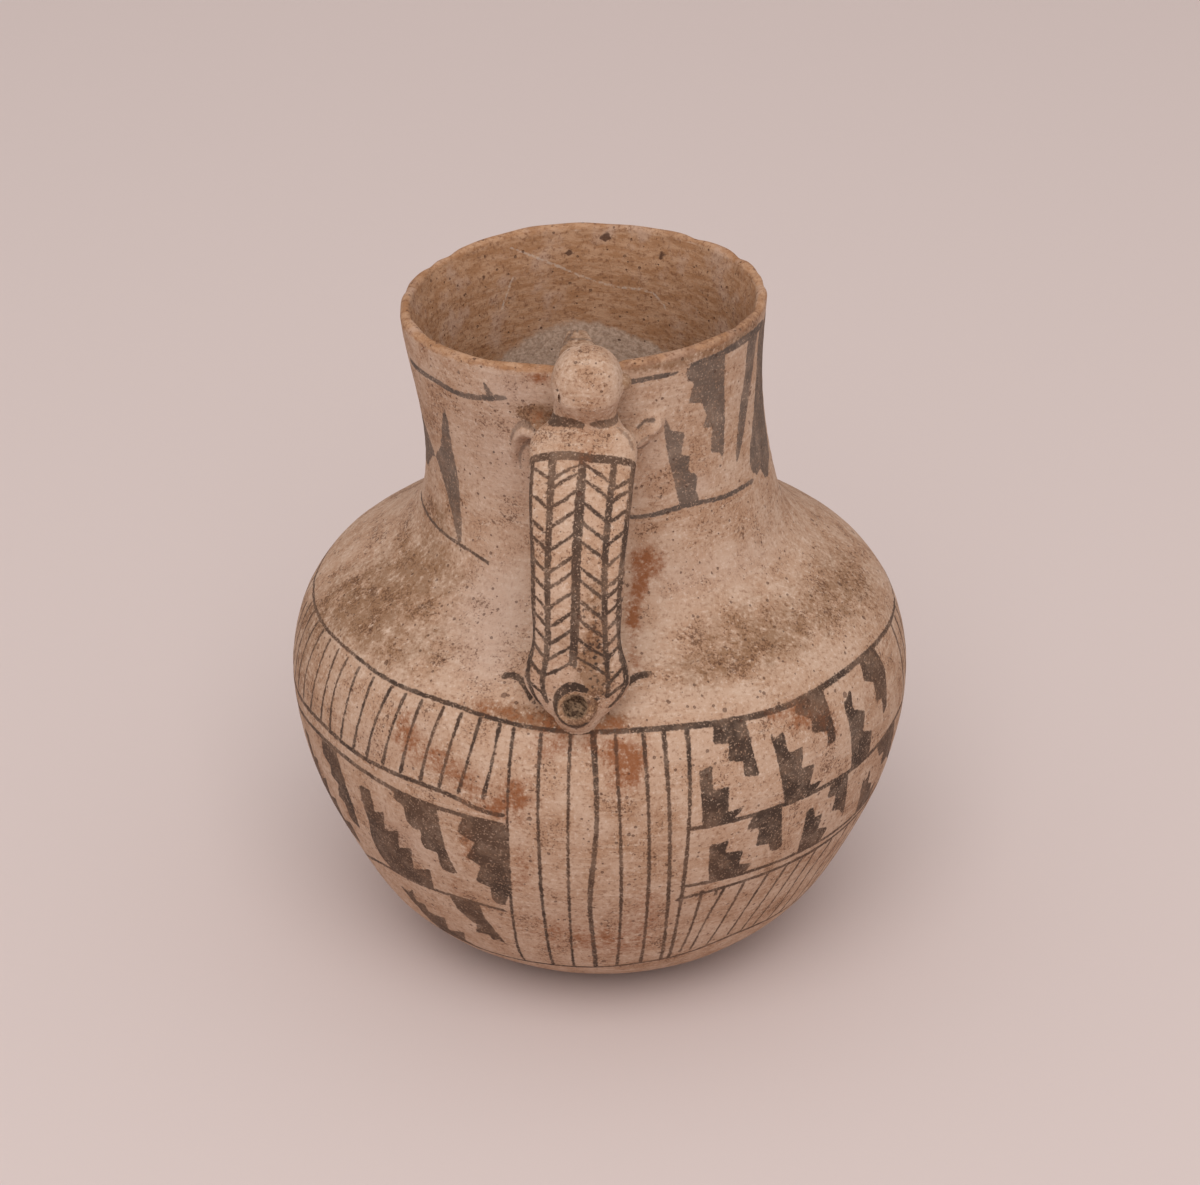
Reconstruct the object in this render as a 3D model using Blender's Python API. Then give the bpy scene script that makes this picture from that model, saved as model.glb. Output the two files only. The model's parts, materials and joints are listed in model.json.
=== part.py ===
"""A painted pottery pitcher whose strap handle is modelled as an animal looking into the mouth.

The pitcher was coiled, scraped and fired as one piece of clay, so it is one solid: a hollow
vessel with a leaning neck, and an animal pressed onto its front. Metres, +Z up. The origin is
the middle of the flat underside, and the handle is at the front, towards -Y.
"""
import math

import bmesh
import bpy
import numpy as np

# Vessel: outer sizes, taken before the neck leans
HEIGHT = 0.1882
FOOT_RADIUS = 0.034
BELLY_RADIUS = 0.084
BELLY_HEIGHT = 0.0805
NECK_FOOT_RADIUS = 0.0471
NECK_FOOT_HEIGHT = 0.1335
NECK_RADIUS = 0.0451
NECK_WAIST_HEIGHT = 0.1554
RIM_RADIUS = 0.0476
WALL = 0.005
RIM_WALL = 0.0042

# The hand-built neck: it drifts to the left, and its rim is tipped and not quite round
NECK_SHIFT = 0.0044
RIM_TILT = math.radians(2.0)
RIM_OVAL = 0.0004
RIM_OVAL_TURN = math.radians(35)
RIM_LOBES = 0.00045
RIM_LOBES_TURN = math.radians(-30)
RIM_WAVE = 0.00035
RIM_WAVE_TURN = math.radians(120)

# Outline between the sizes above, as (share of the height, share of the radius)
FLANK = [(0.093, 0.286), (0.251, 0.568), (0.501, 0.795), (0.660, 0.905), (0.830, 0.975)]
SHOULDER = [(0.242, 0.943), (0.447, 0.789), (0.621, 0.474), (0.758, 0.198), (0.879, 0.057)]

# Handle: the animal's body, a strap that arches from the neck to the shoulder
HANDLE_TURN = math.radians(4.3)
FINGER_GAP = 0.0289
STRAP_WIDTH = 0.0228
STRAP_THICKNESS = 0.009
CHEST_WIDTH = 0.0264
CHEST_DROP = 0.0164
HIP_WIDTH = 0.0270
RUMP_SHARE = 0.519
RUMP_RADIUS = 0.0066
RUMP_STANDOFF = 0.0042

# Head, ears, forelegs and tail
HEAD_WIDTH = 0.0178
HEAD_DEPTH = 0.0180
HEAD_HEIGHT = 0.0184
HEAD_TAPER = 0.12
NAPE_WIDTH = 0.0164
HEAD_STANDOFF = 0.0044
HEAD_DROP = 0.0022
HEAD_SIDE = 0.0006
SNOUT_LENGTH = 0.0155
SNOUT_WIDTH = 0.0104
SNOUT_TURN = math.radians(7)
EAR_RADIUS = 0.0022
EYE_RADIUS = 0.0013
FORELEG_SPREAD = 0.0136
FORELEG_RADIUS = 0.0034
TAIL_RADIUS = 0.0051
TAIL_LENGTH = 0.0088
TAIL_LIFT = math.radians(29)
TAIL_HOLE_RADIUS = 0.0029
TAIL_HOLE_DEPTH = 0.0045

# Facets
VESSEL_SIDES = 72
OUTER_RINGS = 26
INNER_RINGS = 15
LIP_RINGS = 5
STRAP_SIDES = 20
STRAP_RINGS = 30
LIMB_SIDES = 12
BALL_RINGS = 10

CLAY = (0.52, 0.35, 0.25, 1.0)


def clear_scene():
    for item in list(bpy.data.objects):
        bpy.data.objects.remove(item)


def smooth_curve(points, count):
    """Points along the natural cubic spline through the given ones, even in chord length."""
    points = np.array(points, float)
    chord = np.linalg.norm(np.diff(points, axis=0), axis=1)
    knots = np.concatenate([[0.0], np.cumsum(chord)])
    system = np.eye(len(knots))
    bends = np.zeros_like(points)
    for i in range(1, len(knots) - 1):
        system[i, i - 1:i + 2] = chord[i - 1], 2 * (chord[i - 1] + chord[i]), chord[i]
        ahead = (points[i + 1] - points[i]) / chord[i]
        behind = (points[i] - points[i - 1]) / chord[i - 1]
        bends[i] = 6 * (ahead - behind)
    bends = np.linalg.solve(system, bends)
    places = np.linspace(0.0, knots[-1], count)
    k = np.clip(np.searchsorted(knots, places, side="right") - 1, 0, len(chord) - 1)
    step = chord[k][:, None]
    after = (knots[k + 1] - places)[:, None]
    before = (places - knots[k])[:, None]
    curve = bends[k] * after ** 3 + bends[k + 1] * before ** 3
    curve = curve / (6 * step)
    curve += (points[k] / step - bends[k] * step / 6) * after
    curve += (points[k + 1] / step - bends[k + 1] * step / 6) * before
    return curve


def blend(value, low, high):
    """0 below low, 1 above high, with a smooth S between them."""
    share = np.clip((np.asarray(value, float) - low) / (high - low), 0.0, 1.0)
    return share * share * (3 - 2 * share)


def outer_outline():
    """The vessel's outer outline as (radius, height) from the foot's edge to the rim."""
    points = [(FOOT_RADIUS, 0.0)]
    for up, out in FLANK:
        points.append((FOOT_RADIUS + out * (BELLY_RADIUS - FOOT_RADIUS), up * BELLY_HEIGHT))
    points.append((BELLY_RADIUS, BELLY_HEIGHT))
    for up, out in SHOULDER:
        radius = NECK_FOOT_RADIUS + out * (BELLY_RADIUS - NECK_FOOT_RADIUS)
        points.append((radius, BELLY_HEIGHT + up * (NECK_FOOT_HEIGHT - BELLY_HEIGHT)))
    points.append((NECK_FOOT_RADIUS, NECK_FOOT_HEIGHT))
    points.append((NECK_RADIUS, NECK_WAIST_HEIGHT))
    points.append((RIM_RADIUS, HEIGHT - RIM_WALL / 2))
    return points


def vessel_profile():
    """One line from the underside's middle up the outside, over the lip and down the inside."""
    outer = smooth_curve(outer_outline(), OUTER_RINGS)
    along = np.gradient(outer, axis=0)
    along /= np.linalg.norm(along, axis=1)[:, None]
    inward = np.stack([-along[:, 1], along[:, 0]], axis=1)
    wall = WALL + (RIM_WALL - WALL) * blend(outer[:, 1], NECK_WAIST_HEIGHT, HEIGHT)
    inner = outer + inward * wall[:, None]
    keep = np.round(np.linspace(0, OUTER_RINGS - 1, INNER_RINGS)).astype(int)
    inner = inner[keep][::-1]
    inner[:, 1] = np.maximum(inner[:, 1], WALL)
    middle = (outer[-1] + inner[0]) / 2
    half = (outer[-1] - inner[0]) / 2
    crown = np.array([-half[1], half[0]])
    lip = []
    for angle in np.linspace(0.0, math.pi, LIP_RINGS + 2)[1:-1]:
        lip.append(middle + half * math.cos(angle) + crown * math.sin(angle))
    return np.concatenate([outer, np.array(lip), inner])


def lean(points):
    """Push the straight neck sideways and tip, oval and wave its rim, growing towards the rim."""
    points = np.array(points, float)
    amount = blend(points[:, 2], 0.96 * NECK_FOOT_HEIGHT, HEIGHT)
    angle = np.arctan2(points[:, 1], points[:, 0])
    oval = RIM_OVAL * np.cos(2 * (angle - RIM_OVAL_TURN))
    lobes = RIM_LOBES * np.cos(3 * (angle - RIM_LOBES_TURN))
    wave = RIM_WAVE * np.cos(2 * (angle - RIM_WAVE_TURN))
    rise = points[:, 0] * math.tan(RIM_TILT) + wave
    points[:, 0] += amount * ((oval + lobes) * np.cos(angle) - NECK_SHIFT)
    points[:, 1] += amount * (oval + lobes) * np.sin(angle)
    points[:, 2] += amount * rise
    return points


def closed_object(name, rings, material):
    """Skin a stack of equal rings into one closed object, with a fan on each end."""
    rings = np.array(rings, float)
    count, sides = rings.shape[:2]
    first, last = rings[0].mean(axis=0), rings[-1].mean(axis=0)
    verts = np.concatenate([rings.reshape(-1, 3), [first, last]])
    faces = []
    for i in range(count - 1):
        for j in range(sides):
            n = (j + 1) % sides
            faces.append((i * sides + j, i * sides + n, (i + 1) * sides + n, (i + 1) * sides + j))
    top = (count - 1) * sides
    for j in range(sides):
        n = (j + 1) % sides
        faces.append((count * sides, n, j))
        faces.append((count * sides + 1, top + j, top + n))
    mesh = bpy.data.meshes.new(name)
    mesh.from_pydata([tuple(v) for v in verts], [], faces)
    work = bmesh.new()
    work.from_mesh(mesh)
    bmesh.ops.recalc_face_normals(work, faces=work.faces[:])
    work.to_mesh(mesh)
    work.free()
    mesh.materials.append(material)
    item = bpy.data.objects.new(name, mesh)
    bpy.context.scene.collection.objects.link(item)
    return item


def turned(profile, sides):
    """Rings of a shape turned about Z from a line of (radius, height)."""
    angles = np.arange(sides) * 2 * math.pi / sides
    rings = np.empty((len(profile), sides, 3))
    rings[:, :, 0] = profile[:, :1] * np.cos(angles)
    rings[:, :, 1] = profile[:, :1] * np.sin(angles)
    rings[:, :, 2] = profile[:, 1:]
    return rings


def swept(path, half_wide, half_thick, across, power, sides):
    """Rings of a superellipse carried along a path, its width kept near the across direction."""
    path = np.array(path, float)
    along = np.gradient(path, axis=0)
    along /= np.linalg.norm(along, axis=1)[:, None]
    wide = across - along * (along @ across)[:, None]
    wide /= np.linalg.norm(wide, axis=1)[:, None]
    thick = np.cross(along, wide)
    angles = np.arange(sides) * 2 * math.pi / sides
    cos, sin = np.cos(angles), np.sin(angles)
    u = np.sign(cos) * np.abs(cos) ** (2 / power)
    v = np.sign(sin) * np.abs(sin) ** (2 / power)
    rings = path[:, None] + wide[:, None] * (u * np.asarray(half_wide)[:, None])[:, :, None]
    rings += thick[:, None] * (v * np.asarray(half_thick)[:, None])[:, :, None]
    return rings


def ball(centre, half_wide, half_thick, axis_half, across, power, sides, rings, taper=0.0):
    """Rings of a superellipsoid about a centre; axis_half is its half axis as a vector.

    taper narrows the end that the half axis points to and widens the other.
    """
    tilt = np.linspace(0.10, math.pi - 0.10, rings)
    path = centre - np.sign(np.cos(tilt))[:, None] * np.outer(
        np.abs(np.cos(tilt)) ** (2 / power), axis_half)
    size = np.sin(tilt) ** (2 / power) * (1 + taper * np.cos(tilt))
    return swept(path, half_wide * size, half_thick * size, across, power, sides)


OUT = np.array([-math.sin(HANDLE_TURN), -math.cos(HANDLE_TURN), 0.0])
RIGHT = np.array([math.cos(HANDLE_TURN), -math.sin(HANDLE_TURN), 0.0])
UP = np.array([0.0, 0.0, 1.0])


def on_handle(reach, height, sideways=0.0):
    """A point by its reach from the vessel's axis, its height and its place across the handle."""
    return OUT * reach + UP * height + RIGHT * sideways


def wall_radius(height):
    """The radius of the vessel's outside at a height."""
    outline = smooth_curve(outer_outline(), 10 * OUTER_RINGS)
    return float(np.interp(height, outline[:, 1], outline[:, 0]))


def head_centre():
    return on_handle(RIM_RADIUS + HEAD_STANDOFF, HEIGHT - HEAD_DROP, HEAD_SIDE)


def chest_height():
    return HEIGHT - HEAD_DROP - CHEST_DROP


def rump_place():
    """Reach and height of the rump's centre, which stands on the shoulder of the vessel."""
    height = BELLY_HEIGHT + RUMP_SHARE * (NECK_FOOT_HEIGHT - BELLY_HEIGHT)
    return wall_radius(height) + RUMP_STANDOFF, height


def strap_stations():
    """The strap's middle line and half widths, as (reach, height, half width, half thickness)."""
    half = STRAP_THICKNESS / 2
    nape = RIM_RADIUS + HEAD_STANDOFF
    far = NECK_RADIUS + FINGER_GAP + half
    rump_reach, rump_height = rump_place()
    chest = chest_height()
    fall = chest - rump_height
    neck_part = [(-0.44, 0.72, 0.50 * NAPE_WIDTH, 1.30), (-0.22, 0.41, 0.50 * NAPE_WIDTH, 1.30),
                 (0.40, 0.13, 0.48 * CHEST_WIDTH, 1.35), (1.47, -0.16, 0.50 * CHEST_WIDTH, 1.25)]
    arch = [(0.53, 0.15, 0.48 * CHEST_WIDTH, 1.05), (0.78, 0.32, 0.52 * STRAP_WIDTH, 1.0),
            (0.94, 0.51, 0.50 * STRAP_WIDTH, 1.0), (1.00, 0.72, 0.50 * STRAP_WIDTH, 1.0)]
    end = [(0.40, 0.14, 0.49 * HIP_WIDTH, 1.0), (0.18, 0.04, 0.37 * HIP_WIDTH, 1.0),
           (-0.38, -0.065, 0.16 * HIP_WIDTH, 0.8)]
    stations = [(nape + out * half, chest + up * CHEST_DROP, wide, thick * half)
                for out, up, wide, thick in neck_part]
    stations += [(nape + out * (far - nape), chest - down * fall, wide, thick * half)
                 for out, down, wide, thick in arch]
    stations += [(rump_reach + out * half, rump_height + up * fall, wide, thick * half)
                 for out, up, wide, thick in end]
    return stations


def strap(material):
    line = smooth_curve(strap_stations(), STRAP_RINGS)
    path = [on_handle(reach, height) for reach, height in line[:, :2]]
    rings = swept(path, line[:, 2], line[:, 3], RIGHT, 2.6, STRAP_SIDES)
    return closed_object("strap", rings, material)


def rump_centre():
    reach, height = rump_place()
    return on_handle(reach, height)


def tail_axis():
    return OUT * math.cos(TAIL_LIFT) + UP * math.sin(TAIL_LIFT)


def about_tail(profile, sides):
    """Rings of a shape turned about the tail's axis from a line of (radius, distance along it)."""
    axis = tail_axis()
    rings = turned(np.array(profile), sides)
    return rump_centre() + rings @ np.array([RIGHT, np.cross(axis, RIGHT), axis])


def tail(material):
    """The round rump, the short stump of the tail with its soft edge, and the hole in its end."""
    widest = math.pi - math.asin(TAIL_RADIUS / RUMP_RADIUS)
    profile = [(RUMP_RADIUS * math.sin(angle), -RUMP_RADIUS * math.cos(angle))
               for angle in np.linspace(0.10, widest, BALL_RINGS)]
    profile += [(size * TAIL_RADIUS, share * TAIL_LENGTH)
                for size, share in [(1.0, 0.84), (0.94, 0.95), (0.80, 1.0)]]
    profile += [(size * TAIL_HOLE_RADIUS, TAIL_LENGTH - share * TAIL_HOLE_DEPTH)
                for size, share in [(1.0, 0.0), (0.9, 0.8), (0.6, 1.0)]]
    return closed_object("tail", about_tail(profile, 2 * LIMB_SIDES), material)


def tail_socket(material):
    """Where the strap makes room for the tail: wider than the tail's hole, inside its wall."""
    radius = (TAIL_HOLE_RADIUS + TAIL_RADIUS) / 2
    deep = TAIL_LENGTH - 1.2 * TAIL_HOLE_DEPTH
    profile = [(radius, deep), (radius, 1.5 * TAIL_LENGTH)]
    return closed_object("tail_socket", about_tail(profile, 2 * LIMB_SIDES), material)


def head(material):
    rings = ball(head_centre(), HEAD_WIDTH / 2, HEAD_DEPTH / 2, UP * HEAD_HEIGHT / 2, RIGHT,
                 2.2, 2 * LIMB_SIDES, 15, HEAD_TAPER)
    return closed_object("head", rings, material)


def snout(material):
    """The muzzle, which points over the rim into the mouth, a little to one side."""
    inward = -OUT * math.cos(SNOUT_TURN) - RIGHT * math.sin(SNOUT_TURN)
    half = SNOUT_WIDTH / 2
    shape = [(0.00, 0.34, 1.30, 1.10), (0.30, 0.42, 1.22, 1.00), (0.60, 0.46, 0.96, 0.78),
             (0.84, 0.47, 0.66, 0.58), (0.96, 0.45, 0.46, 0.42), (1.0, 0.42, 0.24, 0.22)]
    path = [head_centre() + inward * SNOUT_LENGTH * share + UP * HEAD_HEIGHT / 2 * lift
            for share, lift, _, _ in shape]
    wide = [half * size for _, _, size, _ in shape]
    thick = [half * size for _, _, _, size in shape]
    return closed_object("snout", swept(path, wide, thick, RIGHT, 2.2, LIMB_SIDES), material)


def ear(material):
    """A small knob on the animal's right cheek."""
    centre = head_centre() + RIGHT * 0.94 * HEAD_WIDTH / 2 + OUT * 0.10 * HEAD_DEPTH / 2
    rings = ball(centre, EAR_RADIUS, EAR_RADIUS, RIGHT * 1.2 * EAR_RADIUS, UP, 2.0, LIMB_SIDES, 7)
    return closed_object("ear", rings, material)


def eye(material):
    """The slit on the animal's left cheek."""
    centre = head_centre() - RIGHT * 0.80 * HEAD_WIDTH / 2 + OUT * 0.66 * HEAD_DEPTH / 2
    rings = ball(centre - UP * 0.12 * HEAD_HEIGHT, EYE_RADIUS, EYE_RADIUS, UP * 1.6 * EYE_RADIUS,
                 RIGHT, 2.0, 8, 6)
    return closed_object("eye", rings, material)


def foreleg(side, material):
    """A leg from the chest round to a paw pressed on the neck. side is -1 or 1."""
    chest = RIM_RADIUS + HEAD_STANDOFF
    height = chest_height()
    wall = math.sqrt(wall_radius(height) ** 2 - FORELEG_SPREAD ** 2)
    thick = FORELEG_RADIUS
    route = [
        on_handle(chest + 0.30 * thick, height - 0.60 * thick, side * 0.30 * FORELEG_SPREAD),
        on_handle(chest - 0.15 * thick, height - 0.30 * thick, side * 0.72 * FORELEG_SPREAD),
        on_handle(wall + 1.45 * thick, height, side * 0.98 * FORELEG_SPREAD),
        on_handle(wall + 0.45 * thick, height - 0.30 * thick, side * 1.12 * FORELEG_SPREAD),
        on_handle(wall - 0.18 * thick, height - 1.20 * thick, side * 1.16 * FORELEG_SPREAD),
    ]
    path = smooth_curve(route, 10)
    size = thick * np.array([1.4, 1.4, 1.3, 1.15, 1.02, 0.95, 0.98, 0.98, 0.85, 0.5])
    rings = swept(path, size, size, UP, 2.0, LIMB_SIDES)
    name = "foreleg_right" if side > 0 else "foreleg_left"
    return closed_object(name, rings, material)


def guide(item):
    """Hide a piece that only shapes another one."""
    item.hide_render = True
    item.display_type = "WIRE"


def carve(target, cutter):
    """Cut one piece from another and keep it as a hidden guide."""
    change = target.modifiers.new(cutter.name, "BOOLEAN")
    change.operation = "DIFFERENCE"
    change.solver = "EXACT"
    change.object = cutter
    guide(cutter)


def join(target, name, others):
    """Unite the pieces with the target in one go, and keep them as hidden guides."""
    group = bpy.data.collections.new(name)
    bpy.context.scene.collection.children.link(group)
    for item in others:
        bpy.context.scene.collection.objects.unlink(item)
        group.objects.link(item)
        guide(item)
    change = target.modifiers.new(name, "BOOLEAN")
    change.operation = "UNION"
    change.solver = "EXACT"
    change.operand_type = "COLLECTION"
    change.collection = group


def clay():
    material = bpy.data.materials.new("slipped clay")
    material.use_nodes = True
    shader = material.node_tree.nodes["Principled BSDF"]
    shader.inputs["Base Color"].default_value = CLAY
    shader.inputs["Roughness"].default_value = 0.8
    shader.inputs["Metallic"].default_value = 0.0
    return material


def build():
    clear_scene()
    material = clay()
    rings = turned(vessel_profile(), VESSEL_SIDES)
    rings = lean(rings.reshape(-1, 3)).reshape(rings.shape)
    pitcher = closed_object("pitcher", rings, material)
    body, face = strap(material), head(material)
    carve(body, tail_socket(material))
    carve(face, eye(material))
    join(pitcher, "animal", [body, tail(material), face, snout(material), ear(material),
                             foreleg(-1, material), foreleg(1, material)])
    pitcher.data.shade_smooth()
    pitcher.data.set_sharp_from_angle(angle=math.radians(50))


build()
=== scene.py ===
# %% [markdown]
# A painted pottery pitcher with an animal for a handle
#
# The real thing is a hand-built earthenware vessel, slipped pale and painted with a dark
# mineral paint before it was fired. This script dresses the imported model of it: one fine mesh
# takes the place of the plain solid, and shader nodes paint it. Sizes are in metres, and MM
# stands for one millimetre.

# %% Load the frame
import json
import math
from functools import partial

import bmesh
import bpy
import mathutils
import numpy as np
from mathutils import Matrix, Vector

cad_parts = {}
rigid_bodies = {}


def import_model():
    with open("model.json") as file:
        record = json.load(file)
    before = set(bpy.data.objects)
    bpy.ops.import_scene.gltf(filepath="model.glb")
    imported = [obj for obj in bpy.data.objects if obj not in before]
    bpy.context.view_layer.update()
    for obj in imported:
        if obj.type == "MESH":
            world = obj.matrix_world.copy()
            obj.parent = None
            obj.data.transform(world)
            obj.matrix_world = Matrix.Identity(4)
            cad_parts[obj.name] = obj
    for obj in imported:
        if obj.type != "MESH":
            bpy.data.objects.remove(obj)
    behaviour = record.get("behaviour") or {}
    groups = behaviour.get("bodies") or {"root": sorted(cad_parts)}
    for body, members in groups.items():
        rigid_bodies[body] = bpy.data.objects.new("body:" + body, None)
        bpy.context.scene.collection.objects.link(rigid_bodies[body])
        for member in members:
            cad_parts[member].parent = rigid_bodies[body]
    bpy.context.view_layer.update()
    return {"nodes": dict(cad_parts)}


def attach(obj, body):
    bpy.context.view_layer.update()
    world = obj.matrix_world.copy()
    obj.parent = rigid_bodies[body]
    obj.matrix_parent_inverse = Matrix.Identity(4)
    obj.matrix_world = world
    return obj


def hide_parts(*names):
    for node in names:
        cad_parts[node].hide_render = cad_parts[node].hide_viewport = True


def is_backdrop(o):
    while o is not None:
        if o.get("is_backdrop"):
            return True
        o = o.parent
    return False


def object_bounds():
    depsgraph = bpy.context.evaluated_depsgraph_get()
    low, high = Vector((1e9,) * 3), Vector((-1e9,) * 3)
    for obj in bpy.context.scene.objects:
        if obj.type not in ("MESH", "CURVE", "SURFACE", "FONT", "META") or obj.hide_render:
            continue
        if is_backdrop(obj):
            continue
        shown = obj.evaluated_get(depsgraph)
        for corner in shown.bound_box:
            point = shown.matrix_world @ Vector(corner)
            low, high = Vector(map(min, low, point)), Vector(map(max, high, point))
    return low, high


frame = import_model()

MM = 0.001
print("nodes:", sorted(frame["nodes"]))

# %% [markdown]
# The camera looks down on the pitcher from the handle's side. Its place and lens were found by
# lining up the rim, the belly and the foot with the photograph, whose frame is 1200 by 1185.

# %% Camera
CAMERA_PLACE = (-0.0001, -0.8145, 0.53854)
CAMERA_DOWN = math.radians(28.34)
CAMERA_LENS = 102.08
SENSOR_WIDTH = 36.0
VIEW_DEPTH = 20.0

view = bpy.data.cameras.new("photo view")
view.lens = CAMERA_LENS
view.sensor_width = SENSOR_WIDTH
view.clip_end = VIEW_DEPTH
camera = bpy.data.objects.new("photo view", view)
camera.location = CAMERA_PLACE
camera.rotation_euler = (math.pi / 2 - CAMERA_DOWN, 0.0, 0.0)
bpy.context.scene.collection.objects.link(camera)
bpy.context.scene.camera = camera
print("camera looks down by", round(math.degrees(CAMERA_DOWN), 1), "degrees")

# %% [markdown]
# A pale sweep of paper carries the pitcher: flat under it, then curving up behind. A grid of
# width and run does for it, with the run bent along a quarter circle at the back.

# %% Paper sweep
SWEEP_HALF_WIDTH = 3.0
SWEEP_FRONT = -2.5
SWEEP_BACK = 1.6
SWEEP_BEND = 1.2
SWEEP_TOP = 2.4
SWEEP_STEPS = 24


def grid_object(name, points):
    """A mesh object from an array of points (rows, columns, 3), joined up as quads."""
    rows, columns = points.shape[:2]
    index = np.arange(rows * columns).reshape(rows, columns)
    quads = np.stack([index[:-1, :-1], index[:-1, 1:], index[1:, 1:], index[1:, :-1]], axis=-1)
    mesh = bpy.data.meshes.new(name)
    mesh.from_pydata(points.reshape(-1, 3).tolist(), [], quads.reshape(-1, 4).tolist())
    item = bpy.data.objects.new(name, mesh)
    bpy.context.scene.collection.objects.link(item)
    return item


def sweep_line():
    """Side view of the paper: straight floor, a quarter circle, then a straight wall."""
    turn = np.linspace(0.0, math.pi / 2, SWEEP_STEPS)
    bend_y = SWEEP_BACK + SWEEP_BEND * np.sin(turn)
    bend_z = SWEEP_BEND * (1 - np.cos(turn))
    y = np.concatenate([[SWEEP_FRONT], bend_y, bend_y[-1:]])
    z = np.concatenate([[0.0], bend_z, [SWEEP_TOP]])
    return y, z


sweep_y, sweep_z = sweep_line()
sheet = np.zeros((len(sweep_y), 2, 3))
sheet[:, :, 0] = -SWEEP_HALF_WIDTH, SWEEP_HALF_WIDTH
sheet[:, :, 1] = sweep_y[:, None]
sheet[:, :, 2] = sweep_z[:, None]
paper = grid_object("paper_sweep", sheet)
paper.data.shade_smooth()
paper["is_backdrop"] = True
print("paper sweep:", len(paper.data.polygons), "faces")

# %% [markdown]
# The wall, the strap, the legs and every brush stroke start as a line through a few places. A
# natural cubic spline is the line that a thin strip of wood takes when it is bent through them,
# so it looks like the work of a hand. The helpers draw such a line, fade a value from 0 to 1,
# bring directions to length 1 and measure along a line.

# %% Curves
def smooth_curve(points, count):
    """Points along the natural cubic spline through the given ones, even in chord length."""
    points = np.array(points, float)
    chord = np.linalg.norm(np.diff(points, axis=0), axis=1)
    knots = np.concatenate([[0.0], np.cumsum(chord)])
    system = np.eye(len(knots))
    bends = np.zeros_like(points)
    for i in range(1, len(knots) - 1):
        system[i, i - 1:i + 2] = chord[i - 1], 2 * (chord[i - 1] + chord[i]), chord[i]
        ahead = (points[i + 1] - points[i]) / chord[i]
        behind = (points[i] - points[i - 1]) / chord[i - 1]
        bends[i] = 6 * (ahead - behind)
    bends = np.linalg.solve(system, bends)
    places = np.linspace(0.0, knots[-1], count)
    k = np.clip(np.searchsorted(knots, places, side="right") - 1, 0, len(chord) - 1)
    step = chord[k][:, None]
    after = (knots[k + 1] - places)[:, None]
    before = (places - knots[k])[:, None]
    curve = (bends[k] * after ** 3 + bends[k + 1] * before ** 3) / (6 * step)
    curve += (points[k] / step - bends[k] * step / 6) * after
    curve += (points[k + 1] / step - bends[k + 1] * step / 6) * before
    return curve


def blend(value, low, high):
    """0 below low, 1 above high, with a smooth S between them."""
    share = np.clip((np.asarray(value, float) - low) / (high - low), 0.0, 1.0)
    return share * share * (3 - 2 * share)


def unit(vectors):
    """Each vector divided by its length."""
    return vectors / np.linalg.norm(vectors, axis=-1, keepdims=True)


def run_along(line):
    """The length of a line from its start to each of its points."""
    return np.concatenate([[0.0], np.cumsum(np.linalg.norm(np.diff(line, axis=0), axis=1))])


print("natural cubic spline ready")

# %% [markdown]
# The vessel was coiled and scraped, so its wall follows one section all the way round. The
# section is given by the same sizes as the solid has, and the spline through a few of them is
# its outside. The inside runs one wall thickness away, and the lip is half round. The places on
# the flank and the shoulder are shares of the way up and of the way out.

# %% Section of the wall
HEIGHT = 0.1882
FOOT_RADIUS = 0.034
BELLY_RADIUS = 0.084
BELLY_HEIGHT = 0.0805
NECK_FOOT_RADIUS = 0.0471
NECK_FOOT_HEIGHT = 0.1335
NECK_RADIUS = 0.0451
NECK_WAIST_HEIGHT = 0.1554
RIM_RADIUS = 0.0476
WALL = 0.005
RIM_WALL = 0.0042
LIP_THINNING = 0.0012
LIP_THINNING_REACH = 0.012
LINE_POINTS = 2400
FLANK = [(0.093, 0.286), (0.251, 0.568), (0.501, 0.795), (0.660, 0.905), (0.830, 0.975)]
SHOULDER = [(0.242, 0.943), (0.447, 0.789), (0.621, 0.474), (0.758, 0.198), (0.879, 0.057)]


def wall_section(count):
    """The wall's outside and inside as two lines of (radius, height) from the foot to the rim."""
    belly = [(FOOT_RADIUS + out * (BELLY_RADIUS - FOOT_RADIUS), up * BELLY_HEIGHT) for up, out in FLANK]
    neck = [(NECK_FOOT_RADIUS + out * (BELLY_RADIUS - NECK_FOOT_RADIUS),
             BELLY_HEIGHT + up * (NECK_FOOT_HEIGHT - BELLY_HEIGHT)) for up, out in SHOULDER]
    outer = smooth_curve([(FOOT_RADIUS, 0.0), *belly, (BELLY_RADIUS, BELLY_HEIGHT), *neck,
                          (NECK_FOOT_RADIUS, NECK_FOOT_HEIGHT), (NECK_RADIUS, NECK_WAIST_HEIGHT),
                          (RIM_RADIUS, HEIGHT - RIM_WALL / 2)], count)
    along = unit(np.gradient(outer, axis=0))
    wall = WALL + (RIM_WALL - WALL) * blend(outer[:, 1], NECK_WAIST_HEIGHT, HEIGHT)
    wall -= LIP_THINNING * blend(outer[:, 1], HEIGHT - LIP_THINNING_REACH, HEIGHT)
    inner = outer + np.stack([-along[:, 1], along[:, 0]], axis=1) * wall[:, None]
    inner[:, 1] = np.maximum(inner[:, 1], WALL)
    return outer, inner


outer_line, inner_line = wall_section(LINE_POINTS)
print("outside of the wall from foot to rim:", round(run_along(outer_line)[-1] / MM), "mm")

# %% [markdown]
# The section is cut into rows: close ones where the paint is fine, wide ones where nothing
# shows. Each zone has its own number of columns, and each is half or double its neighbour's, so
# a strip of triangles can join them. The columns also stand closer together in front, where the
# animal is. This keeps the piece under 200,000 triangles.
#
# Each zone below has a name, its number of columns, and its rows as (radius, height).

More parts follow.
